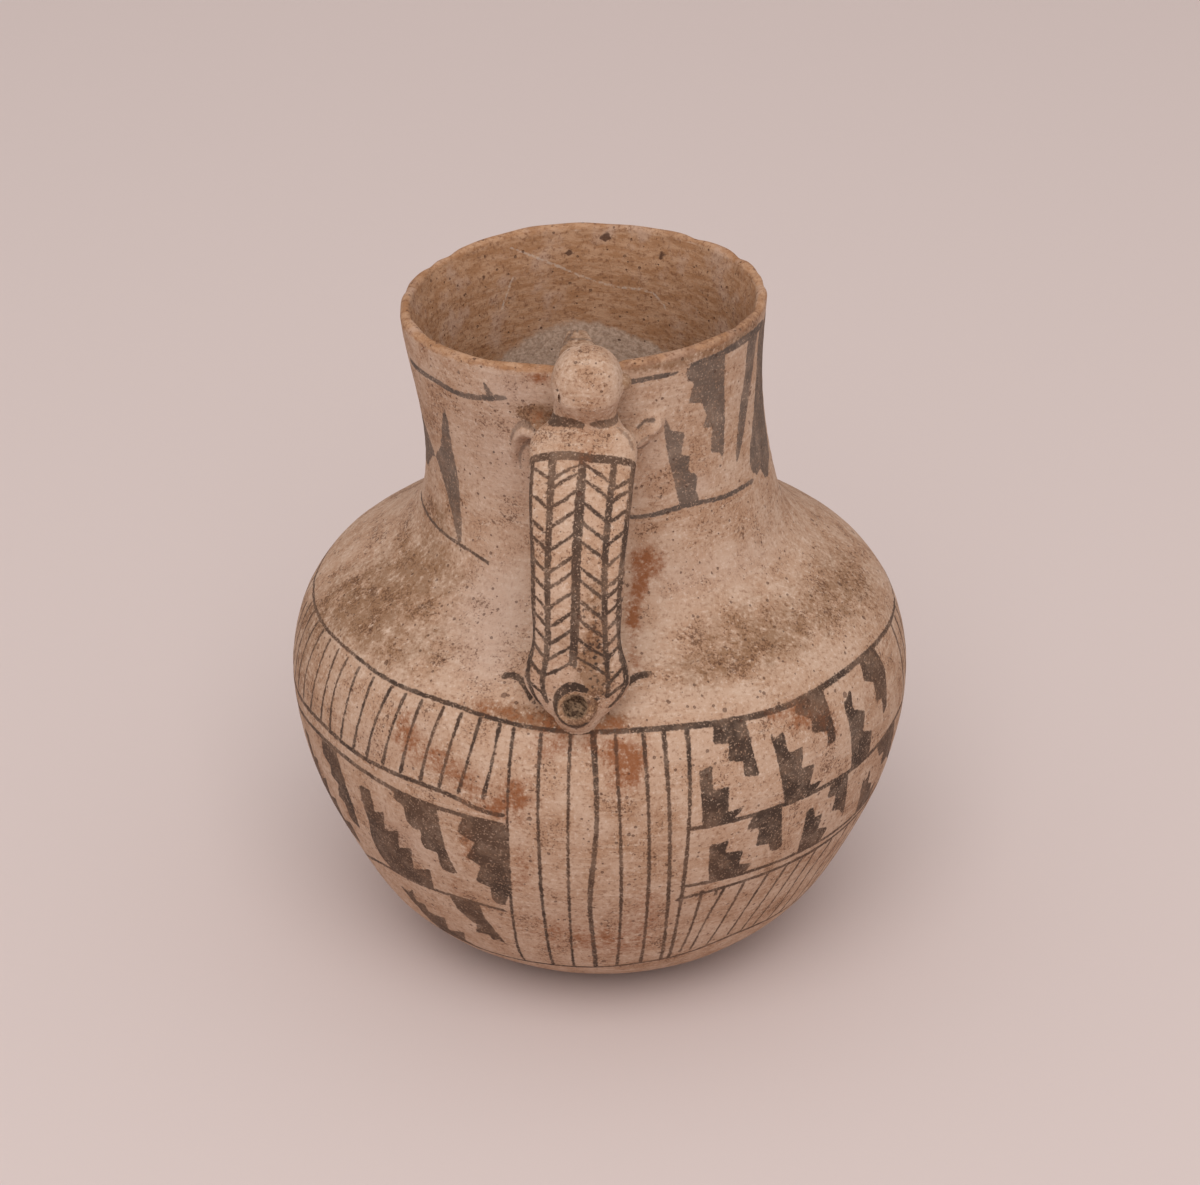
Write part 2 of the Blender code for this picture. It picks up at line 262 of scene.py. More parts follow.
# %% Rows of the vessel
LIP_ROWS = 8
UNDERSIDE_ROWS = 8
FLOOR_RINGS = np.array([0.75, 0.5, 0.25])
FRONT_DENSITY = 0.35
BASE_TOP = 0.014
BELLY_TOP = 0.105
SHOULDER_TOP = 0.133
ABOVE_FLOOR = 1e-6


def stretch(line, low, high, step):
    """Points of a line of (radius, height) between two heights, about one step apart."""
    run = run_along(line)
    start, end = np.interp([low, high], line[:, 1], run)
    places = np.linspace(start, end, max(2, round((end - start) / step) + 1))
    return np.stack([np.interp(places, run, line[:, 0]), np.interp(places, run, line[:, 1])], axis=1)


def lip_arc(count):
    """Half a circle from the wall's outer edge over to its inner edge, without its ends."""
    middle = (outer_line[-1] + inner_line[-1]) / 2
    half = (outer_line[-1] - inner_line[-1]) / 2
    crown = np.array([-half[1], half[0]])
    angle = np.linspace(0.0, math.pi, count + 2)[1:-1, None]
    return middle + half * np.cos(angle) + crown * np.sin(angle)


underside = np.zeros((UNDERSIDE_ROWS, 2))
underside[:, 0] = np.linspace(0.0, FOOT_RADIUS, UNDERSIDE_ROWS + 2)[1:-1]
floor_row = np.full((len(FLOOR_RINGS), 2), WALL)
floor_row[:, 0] = inner_line[0, 0] * FLOOR_RINGS
zones = [
    ("underside", 128, underside),
    ("base", 256, stretch(outer_line, 0.0, BASE_TOP, 0.002)),
    ("belly", 512, stretch(outer_line, BASE_TOP, BELLY_TOP, 0.0012)[1:]),
    ("shoulder", 256, stretch(outer_line, BELLY_TOP, SHOULDER_TOP, 0.0019)[1:]),
    ("neck", 256, stretch(outer_line, SHOULDER_TOP, outer_line[-1, 1], 0.0012)[1:]),
    ("lip", 256, lip_arc(LIP_ROWS)),
    ("inside of the neck", 256, stretch(inner_line, SHOULDER_TOP, inner_line[-1, 1], 0.002)[::-1]),
    ("inside of the body", 128, stretch(inner_line, WALL + ABOVE_FLOOR, SHOULDER_TOP, 0.004)[-2::-1]),
    ("floor", 128, floor_row),
]
columns = np.concatenate([np.full(len(rows), count) for _, count, rows in zones])
section = np.concatenate([rows for _, _, rows in zones])
print("rows:", len(section), " cells round the belly:", columns.max())

# %% [markdown]
# A hand-built wall is never quite even. Sums of cosines round the pot and along the wall give
# slow swells, and fine ones across the wall give the marks of the wet hand that smoothed it.
# Their turns and phases are drawn from a seeded generator, so that each run gives the same pot.

# %% Uneven wall
def ripples(angle, run, seed, terms, turns, wave, size):
    """A sum of cosines of whole turns round the pot and waves along the wall, size as its rms."""
    draw = np.random.default_rng(seed)
    total = np.zeros_like(angle)
    for _ in range(terms):
        round_pot = draw.integers(turns[0], turns[1] + 1)
        along = draw.choice([-1, 1]) * 2 * math.pi / draw.uniform(*wave)
        total += np.cos(round_pot * angle + along * run + draw.uniform(0, 2 * math.pi))
    return size * math.sqrt(2 / terms) * total


def uneven(angle, run):
    """How far the wall stands out of its section, from swells, dents and wiping marks."""
    swell = ripples(angle, run, 11, 10, (1, 4), (0.07, 0.2), 0.14 * MM)
    dents = ripples(angle, run, 12, 16, (5, 14), (0.018, 0.05), 0.05 * MM)
    wiping = ripples(angle, run, 13, 14, (1, 7), (0.0028, 0.006), 0.02 * MM)
    return swell + dents + wiping


once_round = uneven(np.linspace(0.0, 2 * math.pi, 360), np.full(360, BELLY_HEIGHT))
print("the belly swells and sinks by", round(float(np.ptp(once_round)) / MM, 2), "mm round the pot")

# %% [markdown]
# The neck drifts to the left as it rises and its rim is tipped and not quite round, as on the
# solid. The lip is worn: its height wanders a little, and a few chips have left shallow hollows,
# each of them a smooth bump of its own width and depth, taken out of the lip.

# %% Leaning neck and worn lip
NECK_SHIFT = 0.0044
RIM_TILT = math.radians(2.0)
RIM_OVAL = 0.0004
RIM_OVAL_TURN = math.radians(35)
RIM_LOBES = 0.00045
RIM_LOBES_TURN = math.radians(-30)
RIM_WAVE = 0.00035
RIM_WAVE_TURN = math.radians(120)
LEAN_FOOT = 0.96 * NECK_FOOT_HEIGHT
CHIP_SPREAD = 0.006
CHIP_REACH = 0.0026
# Each chip: degrees from the handle, half width and depth in mm, and how far in it lies, from 0
# for the lip's outer edge to 1 for its inner one
CHIPS = [(-128, 3.4, 0.75, 0.3), (-118, 2.2, 0.45, 0.6), (118, 3.0, 0.7, 0.4), (104, 2.2, 0.6, 0.8),
         (95, 3.2, 0.75, 0.5), (83, 2.0, 0.5, 0.2), (74, 3.6, 0.6, 0.7), (140, 2.6, 0.45, 0.5),
         (57, 2.4, 0.45, 0.4), (-58, 3.0, 0.5, 0.2), (-76, 2.6, 0.45, 0.7), (-98, 2.4, 0.4, 0.4)]


def chip_depth(angle, run, lip_run):
    """How much the chips take off the wall, at an angle from the handle and a run along it."""
    depth = np.zeros_like(angle)
    for turn, wide, deep, side in CHIPS:
        apart = np.angle(np.exp(1j * (angle - math.radians(turn)))) * RIM_RADIUS / (wide * MM)
        over = (run - lip_run - (side - 0.5) * CHIP_SPREAD) / (CHIP_REACH + 0.3 * wide * MM)
        depth += deep * MM * np.exp(-apart ** 2 - over ** 2)
    return depth


def lean(points):
    """Push the straight neck sideways and tip, oval and wave its rim, growing towards the rim."""
    points = np.array(points, float)
    amount = blend(points[:, 2], LEAN_FOOT, HEIGHT)
    angle = np.arctan2(points[:, 1], points[:, 0])
    swing = RIM_OVAL * np.cos(2 * (angle - RIM_OVAL_TURN))
    swing += RIM_LOBES * np.cos(3 * (angle - RIM_LOBES_TURN))
    wave = RIM_WAVE * np.cos(2 * (angle - RIM_WAVE_TURN))
    rise = points[:, 0] * math.tan(RIM_TILT) + wave
    points[:, 0] += amount * (swing * np.cos(angle) - NECK_SHIFT)
    points[:, 1] += amount * swing * np.sin(angle)
    points[:, 2] += amount * rise
    return points


print("the rim drifts by", round(NECK_SHIFT / MM, 1), "mm and has", len(CHIPS), "chips")

# %% [markdown]
# Now the rows become a mesh. Every row is a ring of points, and a strip joins each ring to the
# next: quads where both have as many columns, triangles where one has twice as many. Each face
# also gets the slot of the piece that it belongs to, which the paint asks for later.

# %% Strips and slots
SLOTS = ["outside", "inside", "strap", "tail", "head", "snout", "ear", "legs"]


def ring_strip(low, high, low_start, high_start):
    """Faces between two rings, as index arrays, for equal, doubled or halved column counts."""
    j = np.arange(min(low, high))
    k = (j + 1) % len(j)
    if low == high:
        return [np.stack([low_start + j, low_start + k, high_start + k, high_start + j], axis=1)]
    odd = 2 * j + 1
    if low < high:
        a, b = low_start + j, low_start + k
        c, d, e = high_start + 2 * j, high_start + odd, high_start + 2 * k
        return [np.stack([a, b, d], axis=1), np.stack([a, d, c], axis=1), np.stack([b, e, d], axis=1)]
    a, b, c = low_start + 2 * j, low_start + odd, low_start + 2 * k
    d, e = high_start + j, high_start + k
    return [np.stack([a, b, d], axis=1), np.stack([b, c, e], axis=1), np.stack([b, e, d], axis=1)]


def mesh_object(name, points, faces, slots):
    """An object from points and a list of index arrays, with one slot number for each array."""
    mesh = bpy.data.meshes.new(name)
    mesh.from_pydata(points.tolist(), [], [face for part in faces for face in part.tolist()])
    for slot in SLOTS:
        mesh.materials.append(bpy.data.materials.get(slot) or bpy.data.materials.new(slot))
    numbers = np.concatenate([np.full(len(part), slot) for part, slot in zip(faces, slots)])
    mesh.polygons.foreach_set("material_index", numbers.astype(np.int32))
    mesh.update()
    item = bpy.data.objects.new(name, mesh)
    bpy.context.scene.collection.objects.link(item)
    return item


print("slots:", ", ".join(SLOTS))

# %% [markdown]
# The vessel's points are the rows turned about the axis, pushed out by the uneven wall and in by
# the chips, and leaned. Foot and floor stay flat. A fan of triangles closes the middle of both.

# %% Vessel
STANDING = 0.012
LIP_REACH = 0.005


def vessel_points():
    """Every ring of the vessel, pushed out by the uneven wall, in by the chips, and leaned."""
    run = run_along(section)
    tangent = unit(np.gradient(section, axis=0))
    outward = np.stack([tangent[:, 1], -tangent[:, 0]], axis=1)
    angle = np.concatenate([np.arange(n) * 2 * math.pi / n for n in columns])
    angle = angle - FRONT_DENSITY * np.sin(angle + math.pi / 2)
    run, radius, height = np.repeat(run, columns), *np.repeat(section, columns, axis=0).T
    out_r, out_z = np.repeat(outward, columns, axis=0).T
    lip_run = run[np.argmax(height)]
    standing = blend(height, 0.0, STANDING)
    push = uneven(angle, run) * standing
    lip = np.exp(-((run - lip_run) / LIP_REACH) ** 2)
    push += lip * ripples(angle, 0 * run, 21, 12, (3, 22), (1, 2), 0.13 * MM)
    push -= chip_depth(angle + math.pi / 2, run, lip_run)
    radius, height = radius + push * out_r, height + push * out_z
    return lean(np.stack([radius * np.cos(angle), radius * np.sin(angle), height], axis=1))


starts = np.concatenate([[0], np.cumsum(columns)[:-1]])
strips, strip_slots = [], []
top_row = int(np.argmax(section[:, 1]))
for i in range(len(columns) - 1):
    parts = ring_strip(columns[i], columns[i + 1], starts[i], starts[i + 1])
    strips += parts
    slot = "outside" if i < top_row + LIP_ROWS // 2 else "inside"
    strip_slots += [SLOTS.index(slot)] * len(parts)
points = vessel_points()
foot, floor = len(points), len(points) + 1
first, last = np.arange(columns[0]), starts[-1] + np.arange(columns[-1])
strips += [np.stack([np.full(len(first), foot), np.roll(first, -1), first], axis=1),
           np.stack([np.full(len(last), floor), last, np.roll(last, -1)], axis=1)]
strip_slots += [SLOTS.index("outside"), SLOTS.index("inside")]
points = np.concatenate([points, [[0.0, 0.0, 0.0], [0.0, 0.0, WALL]]])
vessel = mesh_object("vessel", points, strips, strip_slots)
print("vessel:", len(vessel.data.vertices), "points,", len(vessel.data.polygons), "faces")

# %% [markdown]
# The animal is the handle, a little turned from the front. Its places are given as a reach from
# the vessel's axis, a height and a place across the handle. The sizes are the solid's own.

# %% Handle sizes
HANDLE_TURN = math.radians(4.3)
FINGER_GAP = 0.0289
STRAP_WIDTH = 0.0228
STRAP_THICKNESS = 0.009
CHEST_WIDTH = 0.0264
CHEST_DROP = 0.0164
HIP_WIDTH = 0.0270
RUMP_SHARE = 0.519
RUMP_RADIUS = 0.0066
RUMP_STANDOFF = 0.0042
NAPE_WIDTH = 0.0164
HEAD_STANDOFF = 0.0044
HEAD_DROP = 0.0022
OUT = np.array([-math.sin(HANDLE_TURN), -math.cos(HANDLE_TURN), 0.0])
RIGHT = np.array([math.cos(HANDLE_TURN), -math.sin(HANDLE_TURN), 0.0])
UP = np.array([0.0, 0.0, 1.0])


def on_handle(reach, height, sideways=0.0):
    """A point by its reach from the vessel's axis, its height and its place across the handle."""
    return OUT * reach + UP * height + RIGHT * sideways


def wall_radius(height):
    """The radius of the vessel's outside at a height."""
    return float(np.interp(height, outer_line[:, 1], outer_line[:, 0]))


chest_height = HEIGHT - HEAD_DROP - CHEST_DROP
rump_height = BELLY_HEIGHT + RUMP_SHARE * (NECK_FOOT_HEIGHT - BELLY_HEIGHT)
rump_reach = wall_radius(rump_height) + RUMP_STANDOFF
print("chest at", round(chest_height / MM, 1), "mm, rump at", round(rump_height / MM, 1), "mm")

# %% [markdown]
# The animal's parts are all made in one way: a superellipse, between an oval and a rounded
# oblong, is carried along a path and changes its size on the way. Where the path is short and
# the size follows a half circle, the outcome is a ball. A fan of triangles closes each end.

# %% Swept shapes
def swept(path, half_wide, half_thick, across, power, sides):
    """Rings of a superellipse carried along a path, its width kept near the across direction."""
    path = np.array(path, float)
    along = unit(np.gradient(path, axis=0))
    wide = unit(across - along * (along @ across)[:, None])
    thick = np.cross(along, wide)
    angles = np.arange(sides) * 2 * math.pi / sides
    cos, sin = np.cos(angles), np.sin(angles)
    u = np.sign(cos) * np.abs(cos) ** (2 / power)
    v = np.sign(sin) * np.abs(sin) ** (2 / power)
    rings = path[:, None] + wide[:, None] * (u * np.asarray(half_wide)[:, None])[:, :, None]
    return rings + thick[:, None] * (v * np.asarray(half_thick)[:, None])[:, :, None]


def ball(centre, half_wide, half_thick, axis_half, across, power, sides, rows, taper=0.0):
    """Rings of a superellipsoid about a centre; axis_half is its half axis as a vector.

    taper narrows the end that the half axis points to and widens the other.
    """
    tilt = np.linspace(0.04, math.pi - 0.04, rows)
    path = centre - np.sign(np.cos(tilt))[:, None] * np.outer(
        np.abs(np.cos(tilt)) ** (2 / power), axis_half)
    size = np.sin(tilt) ** (2 / power) * (1 + taper * np.cos(tilt))
    return swept(path, half_wide * size, half_thick * size, across, power, sides)


def skinned(name, rings, slot):
    """A closed object from a stack of equal rings, with a fan of triangles on each end."""
    count, sides = rings.shape[:2]
    j = np.arange(sides)
    k = (j + 1) % sides
    row = np.arange(count - 1)[:, None] * sides
    body = np.stack([row + j, row + k, row + sides + k, row + sides + j], axis=-1).reshape(-1, 4)
    top = (count - 1) * sides
    ends = [np.stack([np.full(sides, count * sides), k, j], axis=1),
            np.stack([np.full(sides, count * sides + 1), top + j, top + k], axis=1)]
    points = np.concatenate([rings.reshape(-1, 3), [rings[0].mean(axis=0), rings[-1].mean(axis=0)]])
    item = mesh_object(name, points, [body] + ends, [SLOTS.index(slot)] * 3)
    work = bmesh.new()
    work.from_mesh(item.data)
    bmesh.ops.recalc_face_normals(work, faces=work.faces[:])
    work.to_mesh(item.data)
    work.free()
    return item


print("swept shapes ready")

# %% [markdown]
# The animal's body is the strap. Its middle line is the solid's: from the chest at the neck it
# arches out and down to the hips on the shoulder, narrow at the nape and widest at the hips.
# Each station is a share of the way out and of the way up or down, a half width and a thickness.

# %% Strap
STRAP_RINGS = 110
STRAP_SIDES = 56
STRAP_POWER = 2.6


def strap_stations():
    """The strap's middle line and half widths, as (reach, height, half width, half thickness)."""
    half = STRAP_THICKNESS / 2
    nape = RIM_RADIUS + HEAD_STANDOFF
    far = NECK_RADIUS + FINGER_GAP + half
    fall = chest_height - rump_height
    neck_part = [(-0.44, 0.72, 0.50 * NAPE_WIDTH, 1.60), (-0.22, 0.41, 0.50 * NAPE_WIDTH, 1.55),
                 (0.40, 0.13, 0.48 * CHEST_WIDTH, 1.35), (1.47, -0.16, 0.50 * CHEST_WIDTH, 1.25)]
    arch = [(0.53, 0.15, 0.48 * CHEST_WIDTH, 1.05), (0.78, 0.32, 0.52 * STRAP_WIDTH, 1.0),
            (0.94, 0.51, 0.50 * STRAP_WIDTH, 1.0), (1.00, 0.72, 0.50 * STRAP_WIDTH, 1.0)]
    end = [(0.40, 0.14, 0.49 * HIP_WIDTH, 1.0), (0.18, 0.04, 0.37 * HIP_WIDTH, 1.0),
           (-0.38, -0.065, 0.16 * HIP_WIDTH, 0.8)]
    stations = [(nape + out * half, chest_height + up * CHEST_DROP, wide, thick * half)
                for out, up, wide, thick in neck_part]
    stations += [(nape + out * (far - nape), chest_height - down * fall, wide, thick * half)
                 for out, down, wide, thick in arch]
    stations += [(rump_reach + out * half, rump_height + up * fall, wide, thick * half)
                 for out, up, wide, thick in end]
    return stations


strap_line = smooth_curve(strap_stations(), STRAP_RINGS)
strap_path = strap_line[:, :1] * OUT + strap_line[:, 1:2] * UP
strap_rings = swept(strap_path, strap_line[:, 2], strap_line[:, 3], RIGHT, STRAP_POWER, STRAP_SIDES)
strap = skinned("strap", strap_rings, "strap")
print("strap's middle line:", round(run_along(strap_path)[-1] / MM), "mm")

# %% [markdown]
# The tail is a short stump that sticks out of the round rump, with a rough pit where its end
# broke or was pricked out. Rump, stump and pit are one turned profile about the tail's axis, and
# the pit's floor is roughened with ripples. The strap makes room for it with a Boolean cut.

# %% Rump and tail
TAIL_RADIUS = 0.0051
TAIL_LENGTH = 0.0088
TAIL_LIFT = math.radians(29)
TAIL_HOLE_RADIUS = 0.0029
TAIL_HOLE_DEPTH = 0.0028
TAIL_SIDES = 48
TAIL_AXIS = OUT * math.cos(TAIL_LIFT) + UP * math.sin(TAIL_LIFT)
RUMP_CENTRE = on_handle(rump_reach, rump_height)


def about_tail(profile):
    """Rings of a shape turned about the tail's axis from a line of (radius, distance along it)."""
    profile = np.array(profile)
    angle = np.arange(TAIL_SIDES) * 2 * math.pi / TAIL_SIDES
    spoke = np.cos(angle)[:, None] * RIGHT + np.sin(angle)[:, None] * np.cross(TAIL_AXIS, RIGHT)
    return RUMP_CENTRE + profile[:, :1, None] * spoke + (profile[:, 1:] * TAIL_AXIS)[:, None]


def tail_rings():
    """The round rump, the stump with its soft edge, and the pit in its end."""
    widest = math.pi - math.asin(TAIL_RADIUS / RUMP_RADIUS)
    profile = [(RUMP_RADIUS * math.sin(angle), -RUMP_RADIUS * math.cos(angle))
               for angle in np.linspace(0.06, widest, 16)]
    edge = [(1.0, 0.84), (0.99, 0.90), (0.96, 0.95), (0.90, 0.985), (0.82, 1.0), (0.72, 0.995)]
    profile += [(size * TAIL_RADIUS, share * TAIL_LENGTH) for size, share in edge]
    pit = [(1.08, 0.05), (1.0, 0.2), (0.95, 0.45), (0.9, 0.7), (0.8, 0.88), (0.6, 1.0), (0.3, 1.03)]
    profile += [(size * TAIL_HOLE_RADIUS, TAIL_LENGTH - share * TAIL_HOLE_DEPTH) for size, share in pit]
    rings = about_tail(profile)
    angle = np.arange(TAIL_SIDES) * 2 * math.pi / TAIL_SIDES + 0 * rings[:, :, 0]
    deep = np.arange(len(profile))[:, None] - len(profile) + len(pit) + 1
    rough = ripples(angle, 0.0007 * deep, 31, 10, (2, 7), (0.002, 0.006), 0.25 * MM)
    spokes = unit(rings - rings.mean(axis=1, keepdims=True))
    return rings + spokes * (rough * np.clip(deep / 2, 0, 1) - 0.2 * MM * (deep > 0))[:, :, None]


tail = skinned("tail", tail_rings(), "tail")
socket_radius = (TAIL_HOLE_RADIUS + TAIL_RADIUS) / 2
socket_deep = TAIL_LENGTH - 1.2 * TAIL_HOLE_DEPTH
socket = skinned("socket", about_tail([(socket_radius, socket_deep),
                                       (socket_radius, 1.5 * TAIL_LENGTH)]), "tail")
print("tail stands out", round(TAIL_LENGTH / MM, 1), "mm from the rump's middle")

# %% [markdown]
# The head is a blunt dome that is narrower on top, with a beak-like snout over the rim, a small
# knob for an ear on one cheek and a slit for an eye on the other. Each is a superellipsoid or a
# swept superellipse, with more rings than the solid has. The snout is a little longer and the
# ear a little larger than on the solid, because the photograph shows them so.

# %% Head and snout
HEAD_WIDTH = 0.0178
HEAD_DEPTH = 0.0180
HEAD_HEIGHT = 0.0184
HEAD_TAPER = 0.12
HEAD_SIDE = 0.0006
SNOUT_LENGTH = 0.0172
SNOUT_WIDTH = 0.0104
SNOUT_TURN = math.radians(7)
SNOUT_SIDE = 0.0017
EAR_RADIUS = 0.0024
EYE_RADIUS = 0.0013
# Shares of the head's half sizes: the ear to the right and back, the eye to the left, out and down
EAR_PLACE = (0.96, 0.12)
EYE_PLACE = (0.70, 0.74, 0.13)
head_centre = on_handle(RIM_RADIUS + HEAD_STANDOFF, HEIGHT - HEAD_DROP, HEAD_SIDE)
head = skinned("head", ball(head_centre, HEAD_WIDTH / 2, HEAD_DEPTH / 2, UP * HEAD_HEIGHT / 2, RIGHT,
                            power=2.5, sides=56, rows=34, taper=HEAD_TAPER), "head")


def snout_rings():
    """The snout's rings, pointing over the rim and a little to one side."""
    inward = -OUT * math.cos(SNOUT_TURN) - RIGHT * math.sin(SNOUT_TURN)
    half = SNOUT_WIDTH / 2
    shape = smooth_curve([(0.00, 0.26, 1.10, 0.90), (0.30, 0.33, 0.98, 0.80), (0.60, 0.40, 0.80, 0.64),
                          (0.84, 0.44, 0.62, 0.54), (0.96, 0.44, 0.55, 0.50), (1.0, 0.44, 0.52, 0.47)], 40)
    path = head_centre + np.outer(shape[:, 0], inward * SNOUT_LENGTH) + np.outer(
        shape[:, 1], UP * HEAD_HEIGHT / 2)
    return swept(path - SNOUT_SIDE * RIGHT, half * shape[:, 2], half * shape[:, 3], RIGHT,
                 power=4.0, sides=40)


snout = skinned("snout", snout_rings(), "snout")
ear_centre = head_centre + RIGHT * EAR_PLACE[0] * HEAD_WIDTH / 2 - OUT * EAR_PLACE[1] * HEAD_DEPTH / 2
ear = skinned("ear", ball(ear_centre, 0.85 * EAR_RADIUS, 1.4 * EAR_RADIUS, RIGHT * EAR_RADIUS, UP,
                          power=2.0, sides=24, rows=14), "ear")
eye_centre = head_centre - RIGHT * EYE_PLACE[0] * HEAD_WIDTH / 2 + OUT * EYE_PLACE[1] * HEAD_DEPTH / 2
eye = skinned("eye", ball(eye_centre - UP * EYE_PLACE[2] / 2 * HEAD_HEIGHT, 0.35 * EYE_RADIUS, EYE_RADIUS,
                          UP * 0.95 * EYE_RADIUS, RIGHT, power=2.0, sides=16, rows=12), "head")
print("head and snout span", round((HEAD_DEPTH / 2 + SNOUT_LENGTH) / MM, 1), "mm")

# %% [markdown]
# Two forelegs reach from the chest round the neck and are pressed onto it. Each is a tube on a
# smooth route. The route's places are an angle from the front and a height on the neck, how far
# the tube's middle stands off the neck there, and how thick it is.

# %% Forelegs
# Each place: degrees from the front, height, standoff and half thickness in mm
LEG_LEFT = [(-7, 168.5, 5, 3.4), (-12, 169.4, 2.4, 2.9), (-17, 169.6, 0.4, 2.3), (-21, 168.6, -0.3, 1.9),
            (-23.6, 166.0, -0.4, 1.6), (-24.6, 163.0, -0.5, 1.4), (-24.6, 159.6, -0.8, 1.0)]
LEG_RIGHT = [(2, 167.5, 5, 3.2), (8, 167.2, 2.4, 2.8), (12.5, 166.6, 0.5, 2.4), (16, 167.2, -0.1, 2.2),
             (19.5, 168.9, -0.2, 2.1), (22.6, 170.6, -0.4, 1.8), (24.6, 171.7, -1.0, 1.0)]


def on_neck(turn, height, standoff):
    """Points standing off the leaning neck, from angles in degrees and millimetres."""
    reach = np.interp(height * MM, outer_line[:, 1], outer_line[:, 0]) + standoff * MM
    aside = NECK_SHIFT * blend(height * MM, LEAN_FOOT, HEIGHT)
    turn = np.radians(turn)
    return np.stack([reach * np.sin(turn) - aside, -reach * np.cos(turn), height * MM], axis=1)


def foreleg_rings(places):
    """A leg from the chest round to a paw pressed on the neck."""
    turn, height, standoff, thick = smooth_curve(places, 30).T
    return swept(on_neck(turn, height, standoff), thick * MM, thick * MM, UP + 0.4 * OUT,
                 power=2.0, sides=24)


legs = [skinned("leg_left", foreleg_rings(LEG_LEFT), "legs"),
        skinned("leg_right", foreleg_rings(LEG_RIGHT), "legs")]
print("forelegs:", len(legs))

# %% [markdown]
# Everything was one lump of clay, so the pieces are joined by one Boolean union. The manifold
# solver does it in a second, because every piece is a closed mesh. The result is read with the
# modifiers applied, its close points are merged and its slivers are dissolved.

# %% Union
MERGE_DISTANCE = 0.08 * MM
SLIVER_LENGTH = 0.02 * MM


def boolean(target, operation, cutter=None, group=None):
    """A Boolean modifier on target with one object or with all objects of a collection."""
    change = target.modifiers.new(operation.lower(), "BOOLEAN")
    change.operation = operation
    change.solver = "MANIFOLD"
    if group is None:
        change.object = cutter
    else:
        change.operand_type = "COLLECTION"
        change.collection = group


boolean(strap, "DIFFERENCE", socket)
boolean(head, "DIFFERENCE", eye)
animal_parts = bpy.data.collections.new("animal")
bpy.context.scene.collection.children.link(animal_parts)
for item in [strap, tail, head, snout, ear] + legs:
    bpy.context.scene.collection.objects.unlink(item)
    animal_parts.objects.link(item)
boolean(vessel, "UNION", group=animal_parts)
bpy.context.view_layer.update()
work = bmesh.new()
work.from_object(vessel, bpy.context.evaluated_depsgraph_get())
bmesh.ops.remove_doubles(work, verts=work.verts[:], dist=MERGE_DISTANCE)
bmesh.ops.dissolve_degenerate(work, dist=SLIVER_LENGTH, edges=work.edges[:])
open_edges = sum(1 for edge in work.edges if len(edge.link_faces) != 2)
mesh = bpy.data.meshes.new("painted_pitcher")
work.to_mesh(mesh)
work.free()
for item in list(animal_parts.objects) + [vessel, socket, eye]:
    bpy.data.objects.remove(item)
bpy.data.collections.remove(animal_parts)
pitcher = bpy.data.objects.new("painted_pitcher", mesh)
bpy.context.scene.collection.objects.link(pitcher)
mesh.shade_smooth()
print("joined:", len(mesh.vertices), "points,", len(mesh.polygons), "faces,", open_edges, "bad edges")

# %% [markdown]
# Wet clay leaves no sharp seams. Points near a seam are moved towards the middle of their
# neighbours a few times, less and less with distance, which rounds the corner like a finger
# would. The distance runs along edges, so it doesn't jump across the gap of the handle.

# %% Soft joins
# How far the rounding reaches on each piece, in mm
SEAM_REACH = {"outside": 3.6, "inside": 3.6, "strap": 6.5, "tail": 1.4, "head": 6.5, "snout": 0.7,
              "ear": 0.8, "legs": 2.4}
SEAM_STEPS = 10
SEAM_ROUNDS = 36
SEAM_PULL = 0.6
SEAM_FADE = 2.2 * MM


def read(items, name, width=1, kind=np.float64):
    """A property of a mesh collection as an array."""
    values = np.empty(len(items) * width, dtype=kind)
    items.foreach_get(name, values)
    return values.reshape(-1, width) if width > 1 else values


face_slot = read(mesh.polygons, "material_index", kind=np.int32)
face_start = read(mesh.polygons, "loop_start", kind=np.int32)
face_size = read(mesh.polygons, "loop_total", kind=np.int32)
corner_face = np.repeat(np.arange(len(face_slot)), face_size)
corner_point = read(mesh.loops, "vertex_index", kind=np.int32)
corner_edge = read(mesh.loops, "edge_index", kind=np.int32)
edges = read(mesh.edges, "vertices", 2, np.int32)


def neighbour_mean(points, pairs):
    """The mean of each point's neighbours over the given edges."""
    a, b = pairs.T
    size = len(points)
    count = np.bincount(a, minlength=size) + np.bincount(b, minlength=size)
    total = np.stack([np.bincount(a, points[b, i], size) + np.bincount(b, points[a, i], size)
                      for i in range(3)], axis=1)
    return np.where(count[:, None] > 0, total / np.maximum(count, 1)[:, None], points)


def soften_seams(points):
    """The points with the seams between pieces rounded, most of all right at the seam."""
    least, most = np.full(len(edges), len(SLOTS)), np.full(len(edges), -1)
    np.minimum.at(least, corner_edge, face_slot[corner_face])
    np.maximum.at(most, corner_edge, face_slot[corner_face])
    reach = np.array([SEAM_REACH[name] for name in SLOTS]) * MM
    seam = (least < most) & (most > SLOTS.index("inside"))
    left = np.full(len(points), -1.0)
    for end in edges[seam].T:
        np.maximum.at(left, end, np.minimum(reach[least[seam]], reach[most[seam]]))
    length = np.linalg.norm(points[edges[:, 0]] - points[edges[:, 1]], axis=1)
    for _ in range(SEAM_STEPS):
        np.maximum.at(left, edges[:, 0], left[edges[:, 1]] - length)
        np.maximum.at(left, edges[:, 1], left[edges[:, 0]] - length)
    near = edges[(left[edges] > 0).any(axis=1)]
    weight = SEAM_PULL * blend(left, 0.0, SEAM_FADE)[:, None]
    for _ in range(SEAM_ROUNDS):
        points = points + weight * (neighbour_mean(points, near) - points)
    return points


points = soften_seams(read(mesh.vertices, "co", 3))
print("softened the seams of", len(SEAM_REACH), "kinds of piece")

# %% [markdown]
# The potter pressed the forelegs onto the soft neck with a fingertip, which left ridges and
# creases too fine for the union. Each is a route of places on the neck, an angle from the front
# and a height in mm. Points near it move out, or in for a crease, by a smooth hill.

